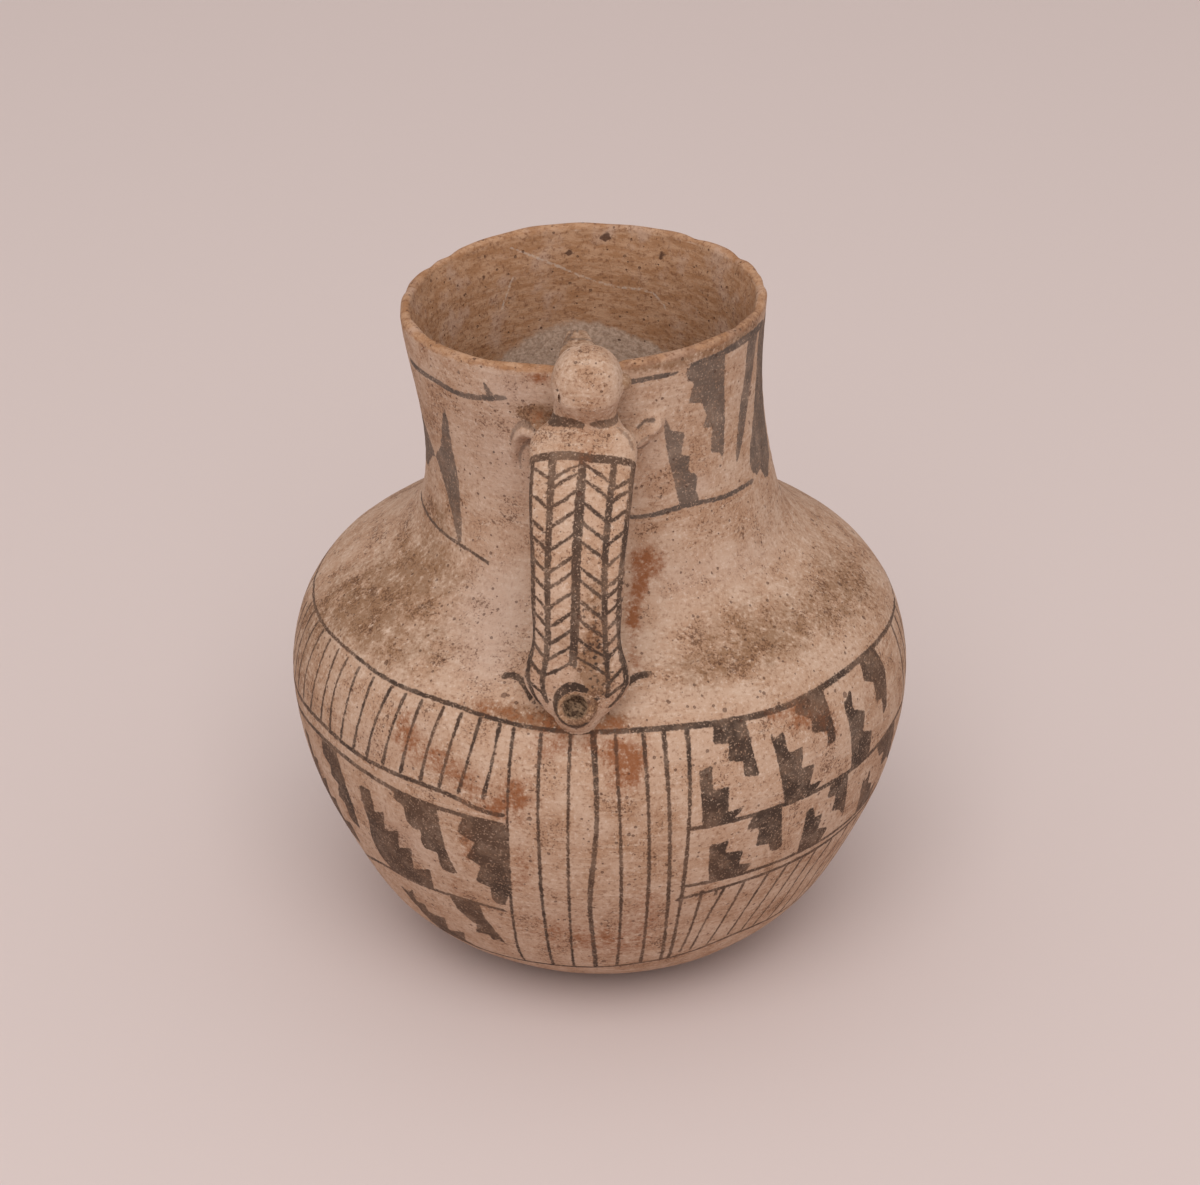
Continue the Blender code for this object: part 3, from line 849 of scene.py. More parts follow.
# %% Pressed creases
# Where to look for them: degrees, heights and distances off the plain wall in mm
PRESS_TURN = 32
PRESS_HEIGHTS = (150, 178)
PRESS_DEPTHS = (-1.5, 7.0)
PRESS_FADE = 4.0
# How far out, half width in mm, and the places
PRESSED = [(-0.75, 0.75, [(-26.0, 163.6), (-24.0, 168.0), (-19.2, 171.0), (-15.4, 170.4), (-11.5, 170.6)]),
           (0.55, 1.3, [(-25.4, 160.5), (-24.2, 164.4), (-20.2, 168.0), (-15.8, 168.9), (-11.5, 169.4)]),
           (-0.75, 0.7, [(-24.2, 155.8), (-23.5, 160.3), (-20.8, 164.4), (-16.5, 167.0), (-12.0, 168.4)]),
           (0.45, 1.6, [(-22.0, 156.0), (-21.2, 160.0), (-18.4, 163.4), (-14.4, 165.2)]),
           (-0.7, 0.7, [(8.0, 170.8), (11.4, 169.3), (13.6, 166.5), (15.1, 163.9)]),
           (0.9, 1.9, [(14.8, 165.6), (18.0, 168.0), (21.6, 170.4)]),
           (-0.9, 0.6, [(16.4, 169.3), (19.0, 171.0), (22.0, 171.3)])]


def neck_places(points):
    """Angle from the front, height and distance from the leaning neck's middle, in degrees and mm."""
    beside = points[:, 0] + NECK_SHIFT * blend(points[:, 2], LEAN_FOOT, HEIGHT)
    reach = np.hypot(beside, points[:, 1])
    return np.degrees(np.arctan2(beside, -points[:, 1])), points[:, 2] / MM, reach / MM


def press(points):
    """The points with the ridges and creases of the forelegs pressed into the neck's outside."""
    angle, high, reach = neck_places(points)
    proud = reach - np.interp(high * MM, outer_line[:, 1], outer_line[:, 0]) / MM
    near = (np.abs(angle) < PRESS_TURN) & (high > PRESS_HEIGHTS[0]) & (high < PRESS_HEIGHTS[1])
    near = np.flatnonzero(near & (proud > PRESS_DEPTHS[0]) & (proud < PRESS_DEPTHS[1]))
    push = np.zeros(len(near))
    for out, wide, places in PRESSED:
        turn_at, high_at = smooth_curve(places, 40).T
        side = np.radians(angle[near, None] - turn_at) * reach[near, None]
        gap = np.hypot(side, high[near, None] - high_at).min(axis=1)
        push += out * np.exp(-(gap / wide) ** 2)
    push *= blend(proud[near], PRESS_DEPTHS[1], PRESS_FADE) * MM
    points = points.copy()
    points[near, 0] += push * np.sin(np.radians(angle[near]))
    points[near, 1] -= push * np.cos(np.radians(angle[near]))
    return points


points = press(points)
mesh.vertices.foreach_set("co", points.ravel())
mesh.update()
print("ridges and creases:", len(PRESSED))

# %% [markdown]
# The painter worked on the curved wall, so the pattern is laid out there too: a place is an
# angle round the pot in degrees from the front, to the right, and a height in millimetres. The
# angle is taken about the leaning neck's own middle. Each face keeps values at its own corners,
# so that neighbouring faces may belong to different brush strokes. The corners' turn, height, run
# up the wall and the millimetres in one degree there are worked out once, for all marks.

# %% Places on the wall
outer_mm = outer_line / MM
outer_run = run_along(outer_mm)


def face_mean(values):
    """The mean over the corners of each face."""
    return np.add.reduceat(values, face_start) / face_size


def up(places):
    """Places of (angle, height) as (angle, run up the wall), because the wall is sloping."""
    places = np.array(places, float)
    return np.stack([places[:, 0], np.interp(places[:, 1], outer_mm[:, 1], outer_run)], axis=1)


def in_slots(*names):
    """Which faces belong to any of the named pieces."""
    return np.isin(face_slot, [SLOTS.index(name) for name in names])


def place_of(across, along, scale, faces):
    """Places to paint by: two coordinates of all corners, mm in one unit of across, the faces."""
    return {"across": across, "along": along, "scale": scale * np.ones(len(across)),
            "middle": (face_mean(across), face_mean(along)), "faces": faces}


corner_mm = points[corner_point] / MM
beside = corner_mm[:, 0] + NECK_SHIFT / MM * blend(corner_mm[:, 2], LEAN_FOOT / MM, HEIGHT / MM)
around = np.arctan2(beside, -corner_mm[:, 1])
radius = np.hypot(beside, corner_mm[:, 1])
face_turn = np.degrees(np.arctan2(face_mean(np.sin(around)), face_mean(np.cos(around))))
turn = face_turn[corner_face] + (np.degrees(around) - face_turn[corner_face] + 180) % 360 - 180
height = corner_mm[:, 2]
rise = np.interp(height, outer_mm[:, 1], outer_run)
degree = np.radians(1.0) * radius
print("the wall is", round(float(outer_run[-1])), "mm long from foot to rim")

# %% [markdown]
# The pattern of the front comes again half a turn round, a little askew, as the painter would
# have drawn it by eye. So each face belongs to one half, and its corners get an angle within
# that half. Below the neck the back also slopes a little, so that its lines meet those of the
# front.

# %% Two halves
HALF_START = -90.0
BACK_SLOPE = 4.4
SLOPE_HEIGHTS = (125, 105)
ASKEW_DEGREES = 1.5
ASKEW_RISE = 0.9
half = np.floor((face_turn - HALF_START) / 180)
local = turn - 180 * half[corner_face]
behind = np.where(half == 0, 0.0, 1.0)[corner_face]
askew = behind * np.cos(np.radians(local))
outside = in_slots("outside")
both = place_of(local + ASKEW_DEGREES * askew * np.sin(np.radians(3 * local)),
                rise - BACK_SLOPE * behind * local / 90 * blend(height, *SLOPE_HEIGHTS)
                + ASKEW_RISE * askew * np.sin(np.radians(7 * local)), degree, outside)
front = place_of(turn, rise, degree, outside & (half == 0))
inside = place_of(180 - turn % 360, height, degree, in_slots("inside"))
print("faces outside:", int(outside.sum()), " of them in front:", int(front["faces"].sum()))

# %% [markdown]
# The handle has its own places: how far a point lies across the strap, as a share of its half
# width, and how far it is along the strap's middle line from the head. The animal as a whole and
# the tail get flat places in millimetres, as seen from in front and along the tail.

# %% Places on the animal
# In mm: how deep the strap's painted top goes, where the animal's front begins, the neck's reach
STRAP_TOP_DEPTH = 1.5
BEFORE_NECK = 46
NECK_REACH = 50
NOWHERE = -99.0
from_middle = corner_mm - RUMP_CENTRE / MM
tail_side, tail_up = from_middle @ RIGHT, from_middle @ np.cross(TAIL_AXIS, RIGHT)
along_tail = from_middle @ TAIL_AXIS
sideways, outwards = corner_mm @ RIGHT, corner_mm @ OUT
strap_reach, strap_height = strap_line[:, 0] / MM, strap_line[:, 1] / MM
strap_run = run_along(np.stack([strap_reach, strap_height], axis=1))


def along_strap(reach, high):
    """For each place, the run of the nearest station of the strap and how far outside it lies."""
    gap = (reach[:, None] - strap_reach) ** 2 + (high[:, None] - strap_height) ** 2
    nearest = np.clip(np.argmin(gap, axis=1), 1, len(strap_run) - 2)
    step = unit(np.stack([strap_reach[nearest + 1] - strap_reach[nearest - 1],
                          strap_height[nearest + 1] - strap_height[nearest - 1]], axis=1))
    away = np.stack([reach - strap_reach[nearest], high - strap_height[nearest]], axis=1)
    run = strap_run[nearest] + (away * step).sum(axis=1)
    return run, -away[:, 0] * step[:, 1] + away[:, 1] * step[:, 0]


on_strap = np.flatnonzero(in_slots("strap", "tail")[corner_face])
run, raised = np.full(len(corner_face), NOWHERE), np.zeros(len(corner_face))
run[on_strap], raised[on_strap] = along_strap(outwards[on_strap], height[on_strap])
half_wide = np.interp(run, strap_run, strap_line[:, 2] / MM)
strap_top = in_slots("strap") & (face_mean(raised) > -STRAP_TOP_DEPTH)
handle = place_of(sideways / half_wide, run, half_wide, strap_top)
of_animal = ~in_slots("outside", "inside")
animal = place_of(sideways, height, 1.0, of_animal & (face_mean(outwards) > BEFORE_NECK))
beak = place_of(sideways, outwards, 1.0, in_slots("snout"))
on_neck_wall = (half == 0) & (face_mean(radius) < NECK_REACH) & (face_mean(height) > PRESS_HEIGHTS[0])
pressed = place_of(turn, height, degree, in_slots("outside", "strap", "legs") & on_neck_wall)
stump = place_of(tail_side, tail_up, 1.0, in_slots("strap", "tail") & (face_mean(along_tail) > 1))
print("strap faces that take paint:", int(strap_top.sum()))

# %% [markdown]
# Paint is kept as numbers on the corners: how far a corner lies from the middle of the mark and
# how wide the mark is there. The side of a line that a corner lies on gives the distance its
# sign, so that it passes through zero on the line. Past the line's ends it has none. Each face
# keeps the mark that passes nearest.

# %% Distance to a mark
MARGIN = 3.0
LEAST_SCALE = 0.05
UNPAINTED = [9.0, 0.0, 1.0]
TINY = 1e-9


def new_layer():
    """For each corner distance, half width and strength, and for each face how near they are."""
    return {"value": np.tile(UNPAINTED, (len(corner_face), 1)), "best": np.full(len(face_slot), np.inf)}


def corners_near(place, route):
    """The corners of the faces whose middle lies in the route's box, widened by the margin."""
    low, high = route.min(axis=0), route.max(axis=0)
    across, along = place["middle"]
    reach = MARGIN / np.maximum(place["scale"][face_start], LEAST_SCALE)
    near = (across > low[0] - reach) & (across < high[0] + reach)
    near &= (along > low[1] - MARGIN) & (along < high[1] + MARGIN) & place["faces"]
    return np.flatnonzero(near[corner_face])


def measure(place, corners, route):
    """The route seen from each corner in mm, the nearest gap to it, its part and share of it."""
    x = (route[None, :, 0] - place["across"][corners, None]) * place["scale"][corners, None]
    y = route[None, :, 1] - place["along"][corners, None]
    step_x, step_y = np.diff(x, axis=1), np.diff(y, axis=1)
    share = -(x[:, :-1] * step_x + y[:, :-1] * step_y) / (step_x ** 2 + step_y ** 2 + TINY)
    share = np.clip(share, 0, 1)
    gap = np.hypot(x[:, :-1] + share * step_x, y[:, :-1] + share * step_y)
    part = np.argmin(gap, axis=1)
    row = np.arange(len(corners))
    side = np.sign(step_x[row, part] * y[row, part] - step_y[row, part] * x[row, part])
    share = share[row, part]
    past = ((part == 0) & (share == 0)) | ((part == step_x.shape[1] - 1) & (share == 1))
    faces = corner_face[corners]
    past_face = np.bincount(faces, past, len(face_slot)) > 0
    side = np.where(past_face[faces] | (side == 0), 1, side)
    return x, y, gap[row, part], side, part, share


def keep(layer, corners, values, nearness):
    """Write the values of those faces for which this mark is nearer than all marks before it."""
    faces = corner_face[corners]
    mean = np.bincount(faces, nearness, len(face_slot)) / face_size
    better = (np.bincount(faces, minlength=len(face_slot)) > 0) & (mean < layer["best"])
    layer["best"][better] = mean[better]
    layer["value"][corners[better[faces]]] = values[better[faces]]


bands, strokes, figures = new_layer(), new_layer(), new_layer()
print("three layers of paint on", len(corner_face), "corners")

# %% [markdown]
# A brush line is a smooth route through a few places, with a width that may change on the way.
# Lines that cross go on two layers, bands and strokes, so that neither cuts the other. A figure
# is filled: its distance is measured to its outline, and is below zero inside it.

# %% Brush
def line(layer, place, route, wide, strength=1.0):
    """Draw one brush line; wide is its width in mm, one number or several along the route."""
    route = np.array(route, float)
    count = max(16, 3 * len(route))
    route = smooth_curve(route, count)
    wide = np.interp(np.linspace(0, 1, count), np.linspace(0, 1, np.size(wide)), np.atleast_1d(wide))
    corners = corners_near(place, route)
    _, _, gap, side, part, share = measure(place, corners, route)
    thick = 0.5 * (wide[part] + share * (wide[part + 1] - wide[part]))
    values = np.stack([gap * side, thick, np.full(len(gap), strength)], axis=1)
    keep(layer, corners, values, gap - thick)


def figure(place, outline, strength=1.0):
    """Fill one figure. A point is inside when a ray to its right crosses the outline oddly."""
    ring = np.array(list(outline) + [outline[0]], float)
    corners = corners_near(place, ring)
    x, y, gap, _, _, _ = measure(place, corners, ring)
    over = (y[:, :-1] > 0) != (y[:, 1:] > 0)
    drop = np.where(over, y[:, 1:] - y[:, :-1], 1.0)
    cut = x[:, :-1] - y[:, :-1] * (x[:, 1:] - x[:, :-1]) / drop
    signed = np.where((over & (cut > 0)).sum(axis=1) % 2 == 1, -gap, gap)
    values = np.stack([signed, np.zeros(len(gap)), np.full(len(gap), strength)], axis=1)
    keep(figures, corners, values, signed)


print("brush and filled figures ready")

# %% [markdown]
# On the body, one framing line runs round below the shoulder and another near the foot. Between
# them are panels: a centre of upright lines under the handle, a hatched band and stepped figures
# on the left, and figures over a hatched band on the right. Each line below is its places, as
# degrees and height, and its width. The hatching is given by the angles of its two ends.

# %% Bands and upright lines of the body
FRAME_LINE = [(-90, 102.4), (-70.6, 102.8), (-56, 103.7), (-43.6, 103.2), (-30.3, 103.4), (-15, 101.9),
              (7.3, 101.7), (21.4, 101.1), (34.8, 100.2), (46.5, 100.5), (59.8, 100.8), (73.2, 99.9),
              (90, 98)]
FOOT_LINE = [(-90, 22), (-60, 19), (-26, 17), (-12, 17.4), (4.2, 18.6), (9.9, 19.7), (18.6, 20.7),
             (26.4, 23.1), (34.6, 25.1), (41, 24.8), (65, 25), (90, 22)]
UPRIGHTS = [([(-16.1, 101), (-16.9, 60), (-17.4, 50.6), (-17.9, 43.9), (-19, 30.7), (-19.7, 17.4)], 0.8),
            ([(-10.9, 101), (-11, 60), (-11.4, 40), (-12, 17.6)], 0.85),
            ([(-5.5, 101), (-5.8, 60), (-6.7, 18)], 0.75),
            ([(-1.3, 101), (-0.7, 76), (-2, 50), (-1.6, 34), (-1.1, 18)], 1.3),
            ([(2.7, 101), (3.8, 60), (4.1, 18.5)], 0.8), ([(7.9, 101), (8.8, 60), (9.9, 19.6)], 0.9),
            ([(11.6, 101), (12.6, 60), (14.9, 20.2)], 1.0), ([(16.1, 101), (15.5, 60), (16.8, 20.5)], 1.0)]
UPRIGHT_SWELL = np.array([1.25, 0.85, 1.1, 0.8, 1.0])
SIDE_UPRIGHTS = [(77.5, 76.5), (82, 81.2), (86.2, 86), (90, 90), (-86.2, -86.5)]
LEFT_HATCH = [(-66.2, -66.3), (-61.7, -61.5), (-57.8, -57.8), (-53.5, -54.1), (-48.7, -50.1),
              (-43.5, -46.3), (-39.7, -42.2), (-35.7, -37.9), (-30.7, -33.4), (-26.8, -29.5),
              (-22.8, -25.6), (-18.9, -20.8), (-70.4, -70.6), (-74.5, -74.9), (-78.8, -78.8), (-82.8, -83)]
RIGHT_HATCH = [(19.6, 19.1, 23.2), (24.5, 21.7, 22.8), (28.7, 25.9, 23.4), (34.1, 30.8, 25.5),
               (38.8, 34.6, 25.1), (42.9, 38.2, 25.8), (46.7, 42.9, 24.6), (51.6, 47, 24.6),
               (57.1, 52, 24.8), (62, 57, 24.8), (67, 62, 24.6), (72, 67.5, 24.4)]
LEFT_LINES = [([(-86.5, 79.5), (-73, 80.4), (-61.5, 82), (-50.7, 81.3), (-33.4, 81.4), (-25.8, 80.2),
                (-21.2, 78.3), (-17.1, 78)], 1.3),
              ([(-86.5, 73.5), (-76, 74.8), (-66.7, 77.1), (-49, 77.2), (-39.5, 76.2), (-29.8, 75.7),
                (-16.8, 75)], 1.3),
              ([(-86.5, 31), (-65.9, 34.2), (-50.6, 41.4), (-40.7, 42.2), (-31.8, 43.2), (-19.5, 42.6)],
               1.2)]
RIGHT_LINES = [([(15.6, 74.3), (34, 74.6), (50, 74.4), (60, 74.8), (68.8, 76), (77, 76)], 1.3),
               ([(15.4, 54.2), (30, 54.4), (44, 54.1), (58, 54.3), (77, 55)], 1.2),
               ([(14.8, 49.1), (24.8, 50.8), (37.1, 51.2), (46.6, 51.4), (56.1, 52.2), (77, 51.5)], 1.2)]
FRAME_WIDTH = [0.9, 0.9, 0.9, 1.1, 1.1, 1.2, 1.6, 1.7, 1.6, 1.2, 1.0]

line(bands, both, up(FRAME_LINE), FRAME_WIDTH)
line(bands, both, up(FOOT_LINE), 1.2)
for route, wide in LEFT_LINES + RIGHT_LINES:
    line(bands, both, up(route), wide)
draw = np.random.default_rng(41)
for route, wide in UPRIGHTS:
    line(strokes, both, up(route), wide * UPRIGHT_SWELL)
for top, bottom in SIDE_UPRIGHTS:
    line(strokes, both, up([(top, 99), (top, 60), (bottom, 23)]), 1.2)
for top, bottom in LEFT_HATCH:
    middle = (top + bottom) / 2 + draw.uniform(-0.5, 0.5)
    line(strokes, both, up([(top, 102), (middle, 92), (bottom, 82.2)]), [1.1, 0.7, 0.8, 1.2])
for top, bottom, low in RIGHT_HATCH:
    middle = (top + bottom) / 2 + draw.uniform(-0.4, 0.4)
    line(strokes, both, up([(top, 51), (middle, 38), (bottom, low)]), [1.0, 0.6, 0.65])
line(strokes, both, up([(22.7, 50.6), (22.8, 48)]), 0.9)
print("lines of the body:", len(LEFT_LINES + RIGHT_LINES + UPRIGHTS), "and hatching:",
      len(LEFT_HATCH + RIGHT_HATCH))

# %% [markdown]
# The figures are saws: one straight edge, and teeth that step along the other. Each is a ring of
# places, tooth by tooth, some standing on a line and some hanging from one.

# %% Figures of the body
# How far two of them come again on the left, past what the photograph shows: degrees and mm
HIDDEN_SHIFT = [24.5, 1.0]
LEFT_FIGURES = [
    [(-24.8, 75.6), (-26.4, 69.4), (-23, 67.2), (-25.2, 61.4), (-22.5, 59.2), (-24.2, 52.9), (-21.3, 51.8),
     (-21.7, 47.1), (-20.9, 45), (-19.1, 45.1), (-17.6, 50.6), (-16.7, 60), (-16.5, 75.4)],
    [(-39.7, 76.3), (-39.9, 73.2), (-37.6, 71.7), (-37.7, 67.5), (-36.3, 65.5), (-34.4, 65.8), (-34.9, 62),
     (-34.4, 59.7), (-31.4, 59.8), (-31.8, 55.3), (-31.1, 53.5), (-27.8, 53.4), (-29.4, 62), (-30.1, 75.8)],
    [(-48.4, 41.6), (-50.6, 45.6), (-50.4, 52), (-49.1, 59), (-49.4, 66), (-49.3, 71.7), (-46.1, 71.8),
     (-46, 64.8), (-43.1, 66.8), (-44.3, 59.4), (-40.3, 62.2), (-41.6, 55.3), (-37.9, 57.5), (-39.4, 48.8),
     (-34.6, 51.7), (-35.9, 42.6)],
    [(-55.9, 77.3), (-54.5, 69.7), (-53.6, 61.7), (-54.1, 51.9), (-57.2, 53.7), (-57.3, 59.1), (-59.4, 60),
     (-57.8, 65.2), (-60.3, 66.4), (-59.5, 69.7), (-62, 71.5), (-61.6, 77)],
    [(-32.2, 43), (-31.6, 37.6), (-28.6, 32.6), (-27.9, 32.5), (-29.5, 27.6), (-27.4, 28.7), (-25.8, 28.6),
     (-25.4, 26.6), (-23.6, 27.6), (-21.8, 24.8), (-22.9, 29.5), (-25, 37), (-25.1, 43)],
    [(-45.6, 18.2), (-46.4, 26.9), (-49.3, 35.6), (-46.6, 34.2), (-44.1, 37.1), (-45.3, 31.4), (-42.1, 32.5),
     (-42.6, 28.8), (-40.8, 28.7), (-37.3, 29.9), (-39.7, 22.3), (-33.6, 25.3), (-36, 19.2), (-31.1, 15.5)]]
RIGHT_FIGURES = [
    [(18, 74), (17.5, 91.6), (17.9, 90.4), (20.1, 91.5), (20, 84.5), (23.1, 85), (22.8, 77.5), (26.1, 78.3),
     (23.4, 74)],
    [(21.2, 101.2), (20.7, 96.4), (23.6, 95.7), (23.1, 91.5), (26, 90.6), (26, 86.5), (29.1, 85.5),
     (28.3, 91.9), (27.7, 101)],
    [(34.3, 74.5), (33.2, 85), (32, 96.2), (33.1, 94), (35.2, 94.9), (35.4, 89.1), (38.9, 89.3), (38, 83.6),
     (41.3, 83.3), (39.9, 77.4), (43.2, 77.3), (41.2, 74.3)],
    [(40.2, 100.8), (38.3, 98), (41.9, 94.9), (41.3, 91.4), (44.9, 90.3), (44.8, 86.1), (47.2, 86.5),
     (46.6, 94.8), (46.6, 100.6)],
    [(51.6, 74.4), (51.2, 85), (50.3, 96.7), (50.9, 94.4), (53.6, 96.8), (52.9, 91.7), (56.4, 88.9),
     (55.2, 83.9), (58.4, 81.7), (57.8, 74.6)],
    [(59.5, 100.9), (58.3, 95.9), (61.3, 93.6), (60.9, 88.7), (63.3, 87.6), (63, 83.1), (64.9, 83.9),
     (67.2, 93.7), (65.8, 100.6)],
    [(27.9, 74.8), (26.6, 70.2), (29.3, 69.4), (29.3, 63.5), (32.1, 62.7), (32.9, 59.6), (35.6, 58.9),
     (34.6, 66), (33.8, 74.7)],
    [(20.6, 54.2), (20, 60), (19.6, 68.3), (21.3, 67.7), (23.5, 68.8), (23, 64), (26.7, 63.3), (26.3, 58.5),
     (29.4, 57.6), (27.7, 54.4)],
    [(45.8, 74.5), (45.1, 69.9), (47.7, 69.1), (47.5, 63.9), (50, 62.8), (52.5, 58.6), (51.6, 66),
     (50.8, 74.5)],
    [(40.2, 54), (40, 66.1), (39.9, 69.5), (41.8, 69.3), (42.7, 65.5), (44.7, 65.4), (44.4, 60.4),
     (47.9, 58.4), (46.4, 54.1)],
    [(58.6, 54.2), (57.2, 67.3), (58.9, 65.4), (60.2, 69.2), (60.6, 63.2), (62.8, 61.7), (63, 58.8),
     (65.8, 60.2), (64.6, 54.6)],
    [(61.1, 75), (63.4, 69.6), (66.1, 69.4), (66.1, 64.3), (70, 64), (75, 59.2), (72.4, 66), (70.4, 75.8)]]

for outline in LEFT_FIGURES + RIGHT_FIGURES:
    figure(both, up(outline))
for outline in LEFT_FIGURES[2:4]:
    figure(both, up(outline) - HIDDEN_SHIFT)
print("figures on the body:", len(LEFT_FIGURES + RIGHT_FIGURES + LEFT_FIGURES[2:4]))

# %% [markdown]
# The neck has a thin line high up and one low down, broken on both sides of the handle, with a
# lozenge on the left and two saws and a wedge on the right that lead to a broad band. The
# animal's hind feet are two short curls, painted on the shoulder.

# %% Neck
NECK_LINES = [([(-72, 175.2), (-59.7, 175.6), (-50.9, 175.7), (-43.2, 175), (-34.8, 175.7), (-25.6, 177.2)],
               [1.7, 1.6, 1.5, 1.6, 1.5]),
              ([(-90, 130.3), (-65.2, 130.5), (-53.1, 130.2), (-40.4, 129.5), (-35, 128.6)], 0.8),
              ([(13.6, 183.0), (20.6, 183.3), (30.1, 183.5)], [1.5, 1.5, 1.4, 0.8]),
              ([(34.8, 184.6), (47.8, 184.9), (62.9, 184.9), (76, 184.1)], [1.2, 1.8, 2.2]),
              ([(10.1, 145.1), (13.8, 144.8), (27.2, 145.7), (38.1, 145.3), (44.5, 144.6), (54.9, 144.3),
                (62, 144.0)], [1.0, 1.3, 1.3, 1.2, 1.2])]
NECK_FIGURES = [
    [(-51.5, 168.9), (-56.7, 160.1), (-59.8, 154.5), (-66.3, 149.7), (-63.2, 146.5), (-59.9, 141.9),
     (-50.8, 130.5), (-47.9, 127), (-49.4, 131.6), (-51.1, 140.5), (-51.4, 148.1), (-52.4, 155.7),
     (-51.1, 164)],
    [(-66, 149.4), (-72, 155), (-77.6, 158.4), (-84, 156.2), (-87.5, 149.5), (-85.5, 141.8),
     (-78, 142.4), (-70, 148.2)],
    [(35.4, 185), (32.8, 183), (34.5, 180.3), (36.4, 179.4), (34.2, 173.9), (39.2, 173), (41.2, 169.1),
     (38.9, 165.6), (43.2, 165.2), (41.7, 158.2), (45.8, 157.1), (47.2, 153.4), (49.2, 166.4), (49.3, 185)],
    [(24.9, 173.8), (27.5, 167.3), (32.3, 166.1), (30.5, 160.1), (33.5, 159), (32.3, 155), (35.7, 153.1),
     (34.4, 149.4), (35.4, 145.4), (27.8, 145.4), (26.6, 154), (25.3, 162.5)],
    [(62.1, 184.6), (60.8, 174), (57.2, 165.3), (54.0, 155.8), (53.4, 151.2), (56.6, 154.6), (60.4, 160.5),
     (64.2, 167), (67.6, 174), (71.0, 184.6)],
    [(72.6, 184.4), (71.6, 172), (68, 162.2), (62.3, 152.6), (61.4, 148.6), (62.6, 146.0),
     (66, 144.2), (69, 144.9), (72, 141.2), (75.5, 140.2), (79, 142.6), (82, 143.4), (84.5, 148),
     (85, 162), (85.8, 184.3)]]
TICK = [(-30.2, 176.6), (-32.0, 180.6)]
HIND_FEET = [([(-20.8, 110.5), (-18, 110.8), (-15.6, 109.6), (-13.2, 107.0)], [1.9, 1.8, 1.6, 1.6]),
             ([(10.6, 111.6), (8.5, 111.5), (6.5, 111.0), (4.6, 109.6), (3.4, 108.2)], [1.9, 1.9, 1.5, 1.2])]

for route, wide in NECK_LINES:
    line(bands, both, up(route), wide)
for outline in NECK_FIGURES:
    figure(both, up(outline), 0.9)
line(strokes, both, up(TICK), [2.2, 0.6])
for route, wide in HIND_FEET:
    line(strokes, front, up(route), wide)
print("marks on the neck:", len(NECK_LINES) + len(NECK_FIGURES) + 1)

# %% [markdown]
# The animal's back is framed and split into two ladders of chevrons that point down to the tail.
# The strokes were set by eye, so each one is given by where it meets its middle line. Lines
# close the ladders above and below the head, and a ring runs round the pit of the tail.

# %% Paint of the animal
# Places on the strap: share of its half width, and run along it in mm
STRAP_LINES = [([(-0.92, 18.0), (-0.97, 33), (-0.93, 44), (-0.93, 52), (-0.98, 62), (-0.94, 69),
                 (-0.88, 73.5), (-0.86, 80)], 1.1),
               ([(-0.54, 18.0), (-0.58, 33), (-0.61, 44), (-0.61, 52), (-0.63, 62), (-0.62, 70),
                 (-0.62, 78)], [2.0, 1.6, 1.5, 1.5, 1.2]),
               ([(0.03, 19.0), (0.01, 33), (-0.01, 44), (0.0, 52), (-0.03, 62), (-0.05, 67.5)],
                [2.0, 2.4, 2.3, 2.2, 1.8]),
               ([(0.63, 18.0), (0.59, 33), (0.59, 44), (0.62, 52), (0.68, 62), (0.63, 70), (0.60, 76)],
                [1.6, 1.6, 1.5, 1.3, 1.0]),
               ([(0.98, 18.0), (0.96, 33), (0.93, 44), (0.92, 52), (0.99, 62), (0.96, 69), (0.92, 74),
                 (0.8, 79)], 1.1)]
# Start and end as shares of the half width, the drop between them, and the runs of their ends
CHEVRONS = [(-0.94, -0.60, 3.6, [23.8, 30.5, 36.0, 40.2, 45.0, 49.1, 54.0, 58.0, 62.2, 66.2, 70.8, 76.0]),
            (-0.04, -0.60, 4.4, [24.4, 26.6, 30.5, 34.7, 39.8, 45.0, 48.5, 53.4, 57.7, 62.2, 66.2, 70.4]),
            (0.03, 0.60, 4.6, [24.1, 28.1, 33.0, 37.0, 41.8, 47.5, 50.7, 55.3, 59.4, 64.4, 69.6]),
            (0.95, 0.62, 3.4, [25.7, 28.7, 33.0, 37.9, 43.3, 48.1, 50.6, 54.6, 58.7, 62.9, 66.5, 71.9,
                               75.7])]
CHEVRON_BOW = 0.35
CHEVRON_OVERRUN = 0.16
TAIL_RING_RADIUS = 5.0

for route, wide in STRAP_LINES:
    line(strokes, handle, route, wide)
for start, end, drop, runs in CHEVRONS:
    for low in runs:
        bow = CHEVRON_BOW * draw.uniform(-1, 1)
        route = np.array([(start, low - drop), ((start + end) / 2, low - drop / 2 + bow), (end, low)])
        line(bands, handle, route + CHEVRON_OVERRUN * (route - route[1]), [0.7, 0.85, 0.85])
line(figures, handle, [(-0.95, 18.0), (-0.3, 17.6), (0.3, 18.2), (0.98, 18.0)], [2.2, 2.6, 2.4, 2.0])
line(figures, animal, [(-8.4, 176.9), (-5, 177.6), (-2.6, 177.7), (-0.4, 177.2)], [2.2, 2.6, 2.8, 2.2])
line(figures, animal, [(2.2, 177.4), (5, 177.4), (8.6, 177.3)], [1.4, 2.6, 2.2, 1.4], 0.85)
line(strokes, handle, [(0.78, 8.5), (0.86, 11.5), (0.93, 14.5)], [1.1, 1.0, 0.6], 0.5)
circle = np.radians(np.linspace(40, 310, 15))
ring = TAIL_RING_RADIUS * np.stack([np.cos(circle), np.sin(circle)], axis=1)
line(figures, stump, ring, [0.6, 2.2, 2.8, 2.4, 1.3, 0.9, 0.9, 1.0, 0.5])

print("chevron strokes:", sum(len(runs) for _, _, _, runs in CHEVRONS))

